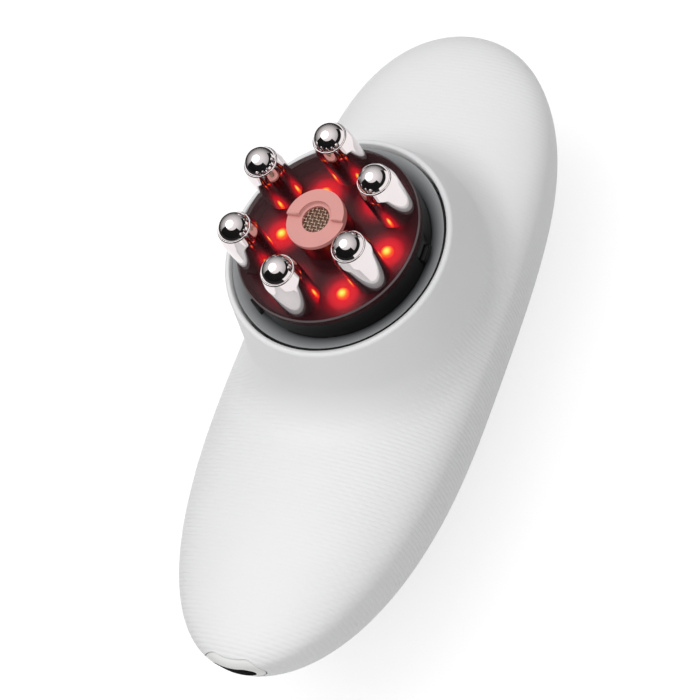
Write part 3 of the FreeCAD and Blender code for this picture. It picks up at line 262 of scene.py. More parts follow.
def make_finishes():
    """Every finish of the object, by a short name."""
    metal = {"Metallic": 1.0}
    return {
        "shell": textured_white_abs(),
        # Plain moulded ABS: close to the shell's white, with a tighter highlight
        "bezel": surface("moulded_white_abs", shades("#e4e4e2", "#ecece9"), 0.35, 0.3, 0.004),
        # Satin polycarbonate with painted shade towards the head's cup
        "seat": polycarbonate_with_painted_shade(),
        # Satin polycarbonate: plain light grey with a soft sheen
        "plate": surface("satin_grey_polycarbonate", near(look().seat_colour), 0.32, 0.25, 0.006),
        # Black ABS from a polished tool: deep black, with faint highlights along its edges
        "puck": surface("gloss_black_abs", near(look().head_colour), 0.2, 0.4, 0.001,
                        {"Specular IOR Level": 0.2}),
        # Smoked acrylic: dark maroon, and the lit board under it shows through
        "lens": surface("smoked_acrylic", shades("#3a1b1f", "#442125"), 0.12, 0.6, 0.0005,
                        {"IOR": 1.49, "Alpha": 0.6, "Specular IOR Level": 0.12}),
        # Acrylic ground at its bevel, with a painted highlight: a paler grey that draws a thin light line
        # round the window
        "edge": surface("ground_acrylic_painted_highlight", shades("#5c5254", "#6a5f61"), 0.3, 0.2, 0.002),
        # Chrome on brass: a hard mirror with polishing haze, faintly pink as a painted reflection of the red
        # lamps
        "chrome": surface("polished_chrome_plate", shades("#e2dada", "#eae2e2"), 0.06, 0.5, 0.0004, metal),
        # Ground and lapped bearing steel: the cleanest mirror on the object, faintly pink as a painted
        # reflection of the red lamps
        "ball": surface("lapped_bearing_steel", shades("#ded6d6", "#e8e0e0"), 0.04, 0.5, 0.0002, metal),
        # A lit lamp's clear dome: a hot yellow middle and an orange edge
        "lamp": glowing("cast_lamp_epoxy", "#ff5a2a", 1.6 * MM, (
            (0.0, "#ffe878"), (0.4, "#ffc038"), (0.75, "#ff5c18"), (1.0, "#ff2014")),
            look().lamp_glow, 0.2),
        # Black solder mask with a painted glow: the board itself gives off a red halo round each lamp that
        # fades outward
        "board_painted_halo": glowing("black_solder_mask_painted_halo", "#160a0b", 9 * MM, (
            (0.0, "#ff2a12"), (0.2, "#ff1020"), (0.36, "#e80a26"), (0.5, "#8c0618"), (0.7, "#40030a"),
            (1.0, "#180204")), look().halo_glow, 0.5),
        # Tinted acrylic: a dark red column with a wet gloss
        "pillar": surface("cast_red_acrylic", shades("#3a0d0e", "#4a1212"), 0.18, 0.4, 0.002),
        # Moulded silicone: soft pink, matte, with hardly any highlight
        "cap": surface("moulded_pink_silicone", near(look().cap_colour, 0.93), 0.55, 0.2, 0.01),
        # Drawn steel wire: grey strands warmed by a painted tint of the lamps' glow, that glint where they
        # cross
        "screen": surface("woven_steel_wire", shades("#c4a894", "#d9bfaa"), 0.32, 0.2, 0.002, metal),
        # Needled felt: brown, fuzzy and without any gloss
        "felt": surface("needled_felt", shades("#8a7062", "#9c8172"), 0.95, 0.25, 0.1),
        # Soft rubber: off-white and dull, so the caps show against the shell
        "white_rubber": surface("moulded_white_rubber", shades("#d6d6d5", "#dededc"), 0.7, 0.2, 0.01),
        # Soft black rubber: a dull dark line in the joint. On the seat ring's outer wall the same black is
        # painted shade in the joint with the collar
        "black_rubber_and_joint_shade": surface("moulded_black_rubber", shades("#161616", "#1d1d1d"), 0.75, 0.2, 0.01),
        # Bright zinc: bluish grey, half matte
        "zinc": surface("zinc_plated_steel", shades("#a9abad", "#b9bbbd"), 0.35, 0.2, 0.002, metal),
        # Gold flash on brass: warm yellow, clear reflections
        "brass": surface("gold_flashed_brass", shades("#c79a46", "#d8b15c"), 0.22, 0.3, 0.001, metal),
        # Solder mask over glass cloth: a green skin with a slight ripple
        "green_board": surface("green_solder_mask", shades("#0c4a26", "#12592f"), 0.4, 0.3, 0.004),
        # Enamelled wire: brown copper with a varnish gloss
        "copper": surface("enamelled_copper_wire", shades("#8a4a26", "#a35a30"), 0.3, 0.2, 0.01, metal),
        # Shrink film: a smooth blue skin
        "film": surface("shrunk_blue_film", shades("#1d5c92", "#2468a3"), 0.25, 0.5, 0.002),
        # Rolled nickel: a warm pale metal with a soft gloss
        "nickel": surface("rolled_nickel_strip", shades("#b5b0a6", "#c3beb5"), 0.28, 0.3, 0.001, metal),
        # Stamped steel, made dark as painted shade deep in the port: a dark metal mouth
        "stamped": surface("stamped_nickel_painted_shade", shades("#2c2c2e", "#38383a"), 0.35, 0.3, 0.001, metal),
        # Moulded nylon: black with a dry surface. On the port bezel's slot walls the same black is painted
        # shade in the opening
        "nylon_and_slot_shade": surface("moulded_black_nylon", shades("#141415", "#1b1b1c"), 0.55, 0.2, 0.006),
        # Turned clear acrylic: a pale, wet-looking rod end
        "clear": surface("turned_clear_acrylic", shades("#dfe6ea", "#eaf0f3"), 0.15, 0.5, 0.001,
                         {"IOR": 1.49}),
        # Satin ABS: close to the shell's white, without its rows
        "button": surface("satin_white_abs", shades("#e2e2e3", "#eaeaea"), 0.38, 0.25, 0.004),
        # Second shot of grey ABS: the marks on the buttons
        "mark": surface("moulded_grey_abs", shades("#77797c", "#828487"), 0.45, 0.2, 0.004),
    }


FINISHES = {}


# Meshes
def built(name, points, faces):
    """A mesh object from points in metres and faces, with doubles merged and faces outward."""
    mesh = bpy.data.meshes.new(name)
    mesh.from_pydata([tuple(p) for p in points], [], faces)
    build = bmesh.new()
    build.from_mesh(mesh)
    bmesh.ops.remove_doubles(build, verts=build.verts, dist=DOUBLES)
    bmesh.ops.recalc_face_normals(build, faces=build.faces)
    build.to_mesh(mesh)
    build.free()
    thing = bpy.data.objects.new(name, mesh)
    bpy.context.scene.collection.objects.link(thing)
    return thing


def dress(thing, finish, body, nodes, sharp=30.0):
    """Gives a mesh its finish, smooth shading and body, and hides the frame nodes that it stands for.

    An edge that turns by more than the sharp angle, in degrees, stays crisp."""
    mesh = thing.data
    mesh.materials.clear()
    mesh.materials.append(FINISHES[finish])
    mesh.polygons.foreach_set("use_smooth", [True] * len(mesh.polygons))
    mesh.set_sharp_from_angle(angle=math.radians(sharp))
    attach(thing, body)
    if nodes:
        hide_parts(*nodes)
    return thing


def stitch(build, reach):
    """Joins open edges that run along each other: each open corner goes into the open edge it lies on."""
    edges = [edge for edge in build.edges if edge.is_boundary]
    corners = list(dict.fromkeys(corner for edge in edges for corner in edge.verts))
    for corner in corners:
        for edge in edges:
            start, end = edge.verts
            foot, share = intersect_point_line(corner.co, start.co, end.co)
            if corner not in (start, end) and 0 < share < 1 and (foot - corner.co).length < reach:
                rest, joined = bmesh.utils.edge_split(edge, start, share)
                joined.co = corner.co
                edges.append(rest)
                break
    rim = [vert for vert in build.verts if vert.is_boundary]
    bmesh.ops.remove_doubles(build, verts=rim, dist=WELD)


def carried(name, nodes, finish, body, joint=None):
    """The form of one or more frame nodes, its triangles joined and shaded smoothly.

    Where the nodes are parts of one moulding, joint is the height of the flat between them.
    That flat is left out."""
    build = bmesh.new()
    for node in nodes:
        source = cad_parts[node]
        part = source.data.copy()
        part.transform(source.matrix_world)
        build.from_mesh(part)
        bpy.data.meshes.remove(part)
    bmesh.ops.remove_doubles(build, verts=build.verts, dist=WELD)
    if joint is not None:
        flats = [face for face in build.faces
                 if all(abs(vert.co.z - joint) < WELD / 2 for vert in face.verts)]
        bmesh.ops.delete(build, geom=flats, context="FACES")
        stitch(build, 0.05 * MM)
    bmesh.ops.recalc_face_normals(build, faces=build.faces)
    mesh = bpy.data.meshes.new(name)
    build.to_mesh(mesh)
    build.free()
    thing = bpy.data.objects.new(name, mesh)
    bpy.context.scene.collection.objects.link(thing)
    return dress(thing, finish, body, nodes, 24.0)


# How many gaps deep a wall that is drawn in gives way
GIVE = 3


def drawn_in(thing, reach, gap, foot):
    """Draws a piece's outer wall in by a gap, so that a dark line shows round the piece.

    Reach is the wall's distance from the piece's middle line, and foot finds a point's place on that line."""
    for vertex in thing.data.vertices:
        away = vertex.co - foot(vertex.co)
        over = away.length - reach + GIVE * gap
        if over > 0:
            vertex.co -= away.normalized() * over / GIVE


def refinish(thing, finish, chosen):
    """Gives the chosen faces of a piece a second finish."""
    thing.data.materials.append(FINISHES[finish])
    for face in thing.data.polygons:
        if chosen(face):
            face.material_index = 1


def grid_faces(rows, columns):
    """Quads between rings of points, each ring closed."""
    return [(i * columns + j, i * columns + (j + 1) % columns,
             (i + 1) * columns + (j + 1) % columns, (i + 1) * columns + j)
            for i in range(rows - 1) for j in range(columns)]


def turned(profile, centre, steps, along_x=False):
    """Points and faces of a turned piece: a profile of radius and place along a vertical or level axis."""
    points = []
    for radius, place in profile:
        for j in range(steps):
            angle = 2 * math.pi * j / steps
            side, rise = radius * math.cos(angle), radius * math.sin(angle)
            level = (place, centre.y + side, centre.z + rise)
            upright = (centre.x + side, centre.y + rise, place)
            points.append(level if along_x else upright)
    return points, grid_faces(len(profile), steps)


# The most of a straight side that the rounding of one of its corners takes
ROUND_SHARE = 0.49


def rounded(corners, steps=4):
    """An open profile with its corners rounded: each corner is radius, place and rounding."""
    points = []
    for i, (radius, place, size) in enumerate(corners):
        here = Vector((radius, place))
        if size <= 0:
            points.append((radius, place))
            continue
        before = Vector(corners[i - 1][:2]) - here
        after = Vector(corners[i + 1][:2]) - here
        room = min(before.length * ROUND_SHARE, after.length * ROUND_SHARE)
        reach = min(size / math.tan(before.angle(after) / 2), room)
        start, end = here + before.normalized() * reach, here + after.normalized() * reach
        for k in range(steps + 1):
            t = k / steps
            points.append(tuple((1 - t) ** 2 * start + 2 * t * (1 - t) * here + t * t * end))
    return points


def raised_line(line, half, front, back, centre):
    """Points and faces of a raised line on a face along X: its middle line, half width and two depths."""
    points = []
    for i, here in enumerate(line):
        way = (Vector(line[min(i + 1, len(line) - 1)]) - Vector(line[max(i - 1, 0)])).normalized()
        for side, depth in ((half, back), (-half, back), (-half, front), (half, front)):
            points.append((depth, centre.y + here[0] - way.y * side, centre.z + here[1] + way.x * side))
    last = 4 * (len(line) - 1)
    return points, grid_faces(len(line), 4) + [(0, 1, 2, 3), (last, last + 1, last + 2, last + 3)]


# Geometry node trees for what repeats
def new_tree(name, sockets):
    """A geometry tree with one output and named inputs, and the sockets that give those inputs."""
    tree = bpy.data.node_groups.new(name, "GeometryNodeTree")
    tree.interface.new_socket("Geometry", in_out="OUTPUT", socket_type="NodeSocketGeometry")
    for label, kind in sockets:
        tree.interface.new_socket(label, in_out="INPUT", socket_type="NodeSocket" + kind)
    return tree, add(tree, "NodeGroupInput").outputs


def end_tree(tree, shape, given):
    """Makes the copies of a tree real, moves them to their middle and gives them their finish."""
    placed = add(tree, "GeometryNodeTransform", inputs={"Geometry": shape, "Translation": given["Middle"]})
    real = add(tree, "GeometryNodeRealizeInstances", placed)
    done = add(tree, "GeometryNodeSetMaterial", inputs={"Geometry": real, "Material": given["Finish"]})
    add(tree, "NodeGroupOutput", done)
    return tree


def ring_tree():
    """Copies of one piece set round a vertical axis, each turned to face outward."""
    tree, given = new_tree("ring_of_pieces", (
        ("Piece", "Object"), ("Count", "Int"), ("Radius", "Float"), ("Start", "Float"),
        ("Middle", "Vector"), ("Finish", "Material")))
    circle = add(tree, "GeometryNodeMeshCircle", inputs={
        "Vertices": given["Count"], "Radius": given["Radius"]})
    step = add(tree, MATH, 2 * math.pi, given["Count"], operation="DIVIDE")
    turn = add(tree, MATH, add(tree, "GeometryNodeInputIndex"), step, operation="MULTIPLY")
    source = add(tree, "GeometryNodeObjectInfo", inputs={"Object": given["Piece"]})
    copies = add(tree, "GeometryNodeInstanceOnPoints", inputs={
        "Points": circle, "Instance": source.outputs["Geometry"],
        "Rotation": add(tree, COMBINE, inputs={"Z": turn})})
    started = add(tree, "GeometryNodeTransform", inputs={
        "Geometry": copies, "Rotation": add(tree, COMBINE, inputs={"Z": given["Start"]})})
    return end_tree(tree, started, given)


# Points along each wire of the screen and sides round it
STRAND_POINTS = 97
WIRE_SIDES = 8
# How far a wire waves, in its own radii, so that crossing wires just clear each other
WAVE = 1.02


def woven_tree():
    """A round piece of plain-woven wire: two sets of waved wires, each as long as the circle allows."""
    tree, given = new_tree("woven_screen", (
        ("Radius", "Float"), ("Pitch", "Float"), ("Wire", "Float"),
        ("Middle", "Vector"), ("Finish", "Material")))
    radius, pitch = given["Radius"], given["Pitch"]
    half = add(tree, MATH, add(tree, MATH, radius, pitch, operation="DIVIDE"), operation="FLOOR")
    count = add(tree, MATH, half, 2.0, 1.0, operation="MULTIPLY_ADD")
    edge = add(tree, MATH, add(tree, MATH, half, pitch, operation="MULTIPLY"), -1.0, operation="MULTIPLY")
    row = add(tree, "GeometryNodeMeshLine", inputs={
        "Count": count, "Start Location": add(tree, COMBINE, inputs={"Y": edge}),
        "Offset": add(tree, COMBINE, inputs={"Y": pitch})})
    strand = add(tree, "GeometryNodeCurvePrimitiveLine", inputs={"Start": (-1, 0, 0), "End": (1, 0, 0)})
    fine = add(tree, "GeometryNodeResampleCurve", inputs={"Curve": strand, "Count": STRAND_POINTS})
    across = add(tree, SPLIT, add(tree, "GeometryNodeInputPosition")).outputs["Y"]
    squares = [add(tree, MATH, side, side, operation="MULTIPLY") for side in (radius, across)]
    chord = add(tree, MATH, add(tree, MATH, *squares, operation="SUBTRACT"), operation="SQRT")
    wires = add(tree, "GeometryNodeInstanceOnPoints", inputs={
        "Points": row, "Instance": fine, "Scale": add(tree, COMBINE, chord, 1.0, 1.0)})
    flat = add(tree, "GeometryNodeRealizeInstances", wires)
    x, y, _ = add(tree, SPLIT, add(tree, "GeometryNodeInputPosition")).outputs
    waves = []
    for way in (x, y):
        step = add(tree, MATH, way, pitch, operation="DIVIDE")
        angle = add(tree, MATH, step, math.pi, operation="MULTIPLY")
        waves.append(add(tree, MATH, angle, operation="COSINE"))
    weave = add(tree, MATH, *waves, operation="MULTIPLY")
    profile = add(tree, "GeometryNodeCurvePrimitiveCircle", inputs={
        "Radius": given["Wire"], "Resolution": WIRE_SIDES})
    both = add(tree, "GeometryNodeJoinGeometry")
    for lift, turn in ((WAVE, 0.0), (-WAVE, math.pi / 2)):
        wave = add(tree, MATH, weave, given["Wire"], operation="MULTIPLY")
        height = add(tree, MATH, wave, lift, operation="MULTIPLY")
        waved = add(tree, "GeometryNodeSetPosition", inputs={
            "Geometry": flat, "Offset": add(tree, COMBINE, inputs={"Z": height})})
        tube = add(tree, "GeometryNodeCurveToMesh", inputs={
            "Curve": waved, "Profile Curve": profile, "Fill Caps": True})
        way = add(tree, "GeometryNodeTransform", inputs={"Geometry": tube, "Rotation": (0.0, 0.0, turn)})
        tree.links.new(way.outputs[0], both.inputs[0])
    return end_tree(tree, both, given)


def grown(name, tree, inputs, finish, body, nodes):
    """A plain mesh grown by a geometry tree with the given inputs."""
    base = bpy.data.objects.new(name, bpy.data.meshes.new(name))
    bpy.context.scene.collection.objects.link(base)
    modifier = base.modifiers.new("repeat", "NODES")
    modifier.node_group = tree
    inputs = {**inputs, "Finish": FINISHES[finish]}
    for item in tree.interface.items_tree:
        if item.in_out == "INPUT":
            modifier[item.identifier] = inputs[item.name]
    graph = bpy.context.evaluated_depsgraph_get()
    mesh = bpy.data.meshes.new_from_object(base.evaluated_get(graph))
    base.modifiers.clear()
    old, base.data = base.data, mesh
    bpy.data.meshes.remove(old)
    mesh.name = name
    if not mesh.polygons:
        raise RuntimeError(f"{name} has no faces")
    return dress(base, finish, body, nodes)


# Settings a user would change
class StimulatorSettings(bpy.types.PropertyGroup):
    """Colours, sizes and light of the stimulator"""
    shell_colour: FloatVectorProperty(
        name="Shell", description="White of the housing",
        default=linear("#e9e9ea")[:3], min=0.0, max=1.0, subtype="COLOR")
    seat_colour: FloatVectorProperty(
        name="Seat", description="Grey of the ring round the head and of the button plate",
        default=linear("#c6c8c9")[:3], min=0.0, max=1.0, subtype="COLOR")
    head_colour: FloatVectorProperty(
        name="Head", description="Black of the head's cup",
        default=linear("#060606")[:3], min=0.0, max=1.0, subtype="COLOR")
    cap_colour: FloatVectorProperty(
        name="Centre", description="Pink of the disc at the head's middle",
        default=linear("#de9a93")[:3], min=0.0, max=1.0, subtype="COLOR")
    row_pitch: FloatProperty(
        name="Grain rows", description="Distance between the rows of the shell's grain",
        default=1.05 * MM, unit="LENGTH")
    seat_gap: FloatProperty(
        name="Seat gap", description="Dark line between the seat ring and the collar",
        default=0.4 * MM, unit="LENGTH")
    bezel_gap: FloatProperty(
        name="Bezel gap", description="Dark line between the port's bezel and the shell",
        default=0.12 * MM, unit="LENGTH")
    wire_pitch: FloatProperty(
        name="Screen pitch", description="Distance between the wires of the woven screen",
        default=0.85 * MM, unit="LENGTH")
    wire_radius: FloatProperty(
        name="Screen wire", description="Radius of the wires of the woven screen",
        default=0.14 * MM, unit="LENGTH")
    post_round: FloatProperty(
        name="Post rounding", description="Rounding of the electrode posts' shoulder",
        default=6.0 * MM, unit="LENGTH")
    button_round: FloatProperty(
        name="Button rounding", description="Rounding of the buttons' front edge",
        default=0.7 * MM, unit="LENGTH")
    ball_steps: IntProperty(
        name="Ball steps", description="Steps round each ball", default=64, min=24)
    lamp_glow: FloatProperty(
        name="Lamp glow", description="Strength of the lit lamps", default=8.0, min=0.0)
    # Strength of the board's painted glow round the lamps
    halo_glow: FloatProperty(
        name="Halo glow", description="Strength of the light round the lamps", default=4.5, min=0.0)
    key_power: FloatProperty(
        name="Key lamp", description="Power of the soft round lamp", default=3.3, unit="POWER")
    fill_power: FloatProperty(
        name="Fill lamp", description="Power of the lamp at the tail's side", default=1.9, unit="POWER")
    sky_low: FloatProperty(
        name="Low sky", description="Light of the studio at the horizon", default=0.18, min=0.0)
    sky_high: FloatProperty(
        name="High sky", description="Light of the studio overhead", default=1.05, min=0.0)
    floor_colour: FloatVectorProperty(
        name="Floor", description="Colour of the studio floor",
        default=(0.4, 0.4, 0.4), min=0.0, max=1.0, subtype="COLOR")
    focal: FloatProperty(
        name="Focal length", description="Camera lens", default=134.3, unit="CAMERA")


def look():
    """The settings in the scene."""
    return bpy.context.scene.stimulator


class StimulatorStep:
    """What every building step shares."""
    bl_options = {"REGISTER", "UNDO"}


class STIMULATOR_OT_housing(StimulatorStep, bpy.types.Operator):
    """Builds the front shell with its collar, and the rear cover"""
    bl_idname = "stimulator.housing"
    bl_label = "Housing"

    def execute(self, context):
        carried("shell_front", ("front_shell", "head_collar"), "shell", "housing",
                joint=COLLAR_FOOT)
        carried("shell_rear", ("rear_cover",), "shell", "housing")
        return {"FINISHED"}


class STIMULATOR_OT_seat(StimulatorStep, bpy.types.Operator):
    """Builds the grey ring that the head sits in"""
    bl_idname = "stimulator.seat"
    bl_label = "Seat ring"

    def execute(self, context):
        ring = carried("ring_seat", ("seat_ring",), "seat", "housing")
        gap = look().seat_gap
        drawn_in(ring, SEAT_RADIUS, gap, lambda point: Vector((HEAD.x, HEAD.y, point.z)))

        def in_the_joint(face):
            away = (face.center - HEAD).xy
            return away.length > SEAT_RADIUS - 2 * gap and face.normal.xy.dot(away.normalized()) > 0.8

        # The ring's outer wall is painted black as painted shade, so that the joint with the collar reads as
        # a dark line
        refinish(ring, "black_rubber_and_joint_shade", in_the_joint)
        return {"FINISHED"}


class STIMULATOR_OT_head(StimulatorStep, bpy.types.Operator):
    """Builds the black cup and the smoked window of the head"""
    bl_idname = "stimulator.head"
    bl_label = "Head"

    def execute(self, context):
        carried("cup_black", ("head_cup",), "puck", "head")
        window = carried("window_smoked", ("head_lens",), "lens", "head")

        def on_the_bevel(face):
            return 0.2 < face.normal.z < 0.95

        # The bevel's paler finish is a painted highlight along the window's edge
        refinish(window, "edge", on_the_bevel)
        return {"FINISHED"}


class STIMULATOR_OT_electrodes(StimulatorStep, bpy.types.Operator):
    """Builds the six chromed posts and their steel balls"""
    bl_idname = "stimulator.electrodes"
    bl_label = "Electrodes"

    def execute(self, context):
        low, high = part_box(POSTS[0])
        radius = (high.x - low.x) / 2
        ball = middle_of("ball_1").z
        cup = BALL_RADIUS + 0.06 * MM
        foot = 3.1 * MM
        shoulder = ball - 2.2 * MM
        lip = high.z
        wall = 0.2 * MM
        neck = math.sqrt(cup * cup - (lip - ball) ** 2)
        outside = rounded([
            (0, low.z, 0), (foot, low.z, 0), (foot, HEAD_TOP, 0), (radius, HEAD_TOP, 0.2 * MM),
            (radius, shoulder, look().post_round), (cup + wall, lip - wall, 0.15 * MM),
            (neck + 0.1 * MM, lip, 0.05 * MM), (neck, lip, 0)])
        start = math.atan2(lip - ball, neck)
        cup_steps = 16
        sweep = [start - (start + math.pi / 2) * k / cup_steps for k in range(cup_steps)]
        cupped = [(cup * math.cos(t), ball + cup * math.sin(t)) for t in sweep] + [(0, ball - cup)]
        model = built("post_model", *turned(outside + cupped, Vector(), POST_STEPS))
        grown("posts_chrome", ring_tree(), {
            "Piece": model, "Count": len(POSTS), "Radius": PITCH_RADIUS, "Start": FIRST_ANGLE,
            "Middle": HEAD_AXIS}, "chrome", "head", POSTS)
        bpy.data.objects.remove(model)
        steps = look().ball_steps
        turns = [2 * math.pi * k / steps for k in range(steps // 2 + 1)]
        for name in BALLS:
            centre = middle_of(name)
            arc = [(BALL_RADIUS * math.sin(t), centre.z - BALL_RADIUS * math.cos(t)) for t in turns]
            ball_piece = built(name + "_steel", *turned(arc, centre, steps))
            dress(ball_piece, "ball", name, (name,), 60.0)
        return {"FINISHED"}


class STIMULATOR_OT_lamps(StimulatorStep, bpy.types.Operator):
    """Builds the six lit lamps under the window"""
    bl_idname = "stimulator.lamps"
    bl_label = "Lamps"

    def execute(self, context):
        low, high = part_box("red_lamps")
        wall = low.z + 0.3 * MM
        rise = high.z - wall
        dome_steps = 6
        turns = [math.pi / 2 * k / dome_steps for k in range(dome_steps + 1)]
        dome = [(0, low.z), (LAMP_SIDE, low.z)] + [
            (LAMP_SIDE * math.cos(t), wall + rise * math.sin(t)) for t in turns]
        model = built("lamp_model", *turned(dome, Vector(), LAMP_STEPS))
        grown("lamps_red", ring_tree(), {
            "Piece": model, "Count": len(LAMPS), "Radius": LAMP_RADIUS, "Start": FIRST_ANGLE - SIXTH / 2,
            "Middle": HEAD_AXIS}, "lamp", "head", ("red_lamps",))
        bpy.data.objects.remove(model)
        return {"FINISHED"}


class STIMULATOR_OT_centre(StimulatorStep, bpy.types.Operator):
    """Builds the centre pillar, its disc, the woven screen and the felt pad"""
    bl_idname = "stimulator.centre"
    bl_label = "Centre"

    def execute(self, context):
        carried("pillar_acrylic", ("centre_pillar",), "pillar", "head")
        carried("disc_silicone", ("centre_cap",), "cap", "head")
        carried("pad_felt", ("felt_pad",), "felt", "head")
        # The wires are drawn coarser than such a screen's, so that the weave shows
        grown("screen_woven", woven_tree(), {
            "Radius": span_of("mesh_screen").x / 2, "Pitch": look().wire_pitch, "Wire": look().wire_radius,
            "Middle": middle_of("mesh_screen")}, "screen", "head", ("mesh_screen",))
        return {"FINISHED"}


class STIMULATOR_OT_port(StimulatorStep, bpy.types.Operator):
    """Builds the charging port's bezel and socket"""
    bl_idname = "stimulator.port"
    bl_label = "Charging port"

    def execute(self, context):
        bezel = carried("bezel_port", ("port_bezel",), "bezel", "housing")
        middle, half = middle_of("port_bezel"), span_of("port_bezel") / 2
        straight = half.x - half.z
        drawn_in(bezel, half.z, look().bezel_gap, lambda point: Vector((
            max(middle.x - straight, min(middle.x + straight, point.x)), point.y, middle.z)))
        rim = 1.4 * MM
        room = half - Vector((1, 1, 1)) * rim

        def in_the_slot(face):
            away = face.center - middle
            inward = face.normal.xz.dot(away.xz) < -0.2 * away.xz.length
            return inward and abs(away.x) < room.x and abs(away.z) < room.z

        # The walls of the opening are painted black as painted shade, so that the port reads as a dark slot
        refinish(bezel, "nylon_and_slot_shade", in_the_slot)
        # The socket's dark finish is painted shade deep in the port
        carried("socket_charging", ("usb_socket",), "stamped", "housing")
        return {"FINISHED"}


class STIMULATOR_OT_buttons(StimulatorStep, bpy.types.Operator):
    """Builds the button plate and its three dished buttons with their raised marks"""
    bl_idname = "stimulator.buttons"
    bl_label = "Buttons"

    def execute(self, context):
        carried("plate_buttons", ("button_plate",), "plate", "housing")
        arc = [math.radians(angle) for angle in range(130, 411, 10)]
        ring = [(1.5 * MM * math.cos(t), 1.5 * MM * math.sin(t)) for t in arc]
        wave = [(0.17 * MM * k, 0.8 * MM * math.sin(0.2 * math.pi * k)) for k in range(-10, 11)]
        arm = 1.6 * MM
        marks = {
            "power_button": (ring, [(0, 0.5 * MM), (0, 1.9 * MM)]),
            "mode_button": (wave,),
            "level_button": ([(-arm, 0), (arm, 0)], [(0, -arm), (0, arm)]),
        }
        ledge = 1.0 * MM
        hollow = 0.25 * MM
        half_line = 0.16 * MM
        sunk = 0.5 * MM
        for name, lines in marks.items():
            low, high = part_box(name)
            centre = (low + high) / 2
            keeper = (high.y - low.y) / 2
            cap = keeper - ledge
            front, back, step = low.x, high.x, high.x - ledge
            dish = [(cap * share, front + hollow * (1 - (share / 0.8) ** 2))
                    for share in (0.6, 0.4, 0.2, 0.0)]
            profile = rounded([
                (0, back, 0), (keeper, back, 0), (keeper, step, 0), (cap, step, 0),
                (cap, front, look().button_round), (cap * 0.75, front, 0.3 * MM), (*dish[0], 0)])
            button = built(name + "_cap", *turned(profile + dish[1:], centre, BUTTON_STEPS, along_x=True))
            dress(button, "button", name, (name,), 40.0)
            points, faces = [], []
            for line in lines:
                more, sides = raised_line(line, half_line, front, front + sunk, centre)
                faces += [tuple(index + len(points) for index in side) for side in sides]
                points += more
            dress(built(name + "_mark", points, faces), "mark", name, ())
        return {"FINISHED"}


class STIMULATOR_OT_inner(StimulatorStep, bpy.types.Operator):
    """Gives the pieces inside and the fasteners their finishes"""
    bl_idname = "stimulator.inner"
    bl_label = "Inner pieces"

    def execute(self, context):
        finishes = {
            "black_rubber_and_joint_shade": ("shell_seal",),
            "white_rubber": ("screw_caps",),
            "zinc": ("cover_screws", "seat_screws", "board_screws", "button_screws", "post_screws"),
            "nylon_and_slot_shade": ("contact_block", "control_chip", "push_switches", "head_base"),
            "brass": ("contact_pins", "head_contacts"),
            "green_board": ("main_board", "button_board"),
            "copper": ("boost_transformer",),
            "film": ("battery_cell",),
            "nickel": ("battery_strips",),
            "clear": ("light_pipe",),
            # The lamp board gives off a painted red halo round each lamp
            "board_painted_halo": ("lamp_board",),
        }
        for finish, nodes in finishes.items():
            for node in nodes:
                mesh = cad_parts[node].data
                mesh.materials.clear()
                mesh.materials.append(FINISHES[finish])
        return {"FINISHED"}


# The camera's azimuth, elevation and roll in degrees, and its place from the head's top in metres
VIEW_ANGLES = (54.802, 55.925, -39.796)
VIEW_BACK = 0.6125
VIEW_RIGHT = 0.005488
VIEW_DOWN = 0.027388
# How brightly the floor glows to the camera and in metal, beside the light that its colour gives back
FLOOR_GLOW = 0.7
# Dark cards: their angles round the head in degrees, and the radius and height of both edges in metres
CARD_FOOT = 1 * MM
CARDS = {
    "card_floor": (70, 315, ((0.19, CARD_FOOT), (3.5, CARD_FOOT))),
    "card_tail": (200, 340, ((1.2, CARD_FOOT), (1.2, 1.5))),
    "card_side": (340, 430, ((1.2, CARD_FOOT), (1.2, 0.5))),
}


def view_axes():
    """The camera's own axes: towards the viewer, right and up."""
    azimuth, elevation, roll = (math.radians(angle) for angle in VIEW_ANGLES)
    back = Vector((math.sin(azimuth) * math.cos(elevation), -math.cos(azimuth) * math.cos(elevation),
                   math.sin(elevation)))
    level = Vector((math.cos(azimuth), math.sin(azimuth), 0))
    right = level * math.cos(roll) + back.cross(level) * math.sin(roll)
    return back, right, back.cross(right)


def floor_paint():
    """Matte studio paint: plain white to the camera and in metal, and it keeps the object's shadow."""
    material, tree, shader = new_material("matte_studio_paint", {
        "Base Color": (*look().floor_colour, 1.0), "Roughness": 0.9, "Emission Color": linear("#ffffff")})
    path = add(tree, "ShaderNodeLightPath").outputs
    mirrored = add(tree, MATH, path["Is Glossy Ray"], path["Is Transmission Ray"], operation="MAXIMUM")
    seen = add(tree, MATH, path["Is Camera Ray"], mirrored, operation="MAXIMUM")
    light = add(tree, MATH, seen, FLOOR_GLOW, operation="MULTIPLY")
    tree.links.new(light.outputs[0], shader.inputs["Emission Strength"])
    return material


def dark_cards():
    """Black velvet outside the picture. Only reflections see it, and it gives the balls their contrast."""
    velvet = surface("black_velvet", shades("#0a0a0a", "#101010"), 0.9, 2, 0.1)
    cards = []
    for name, (first, last, edges) in CARDS.items():
        angles = [math.radians(angle) for angle in range(first, last + 1, 5)]
        points = [round_the_head(radius, angle) + Vector((0, 0, height))
                  for angle in angles for radius, height in edges]
        card = built(name, points, [(i, i + 1, i + 3, i + 2) for i in range(0, len(points) - 2, 2)])
        card.data.materials.append(velvet)
        card.visible_camera = card.visible_diffuse = card.visible_shadow = card.visible_transmission = False
        cards.append(card)
    return cards


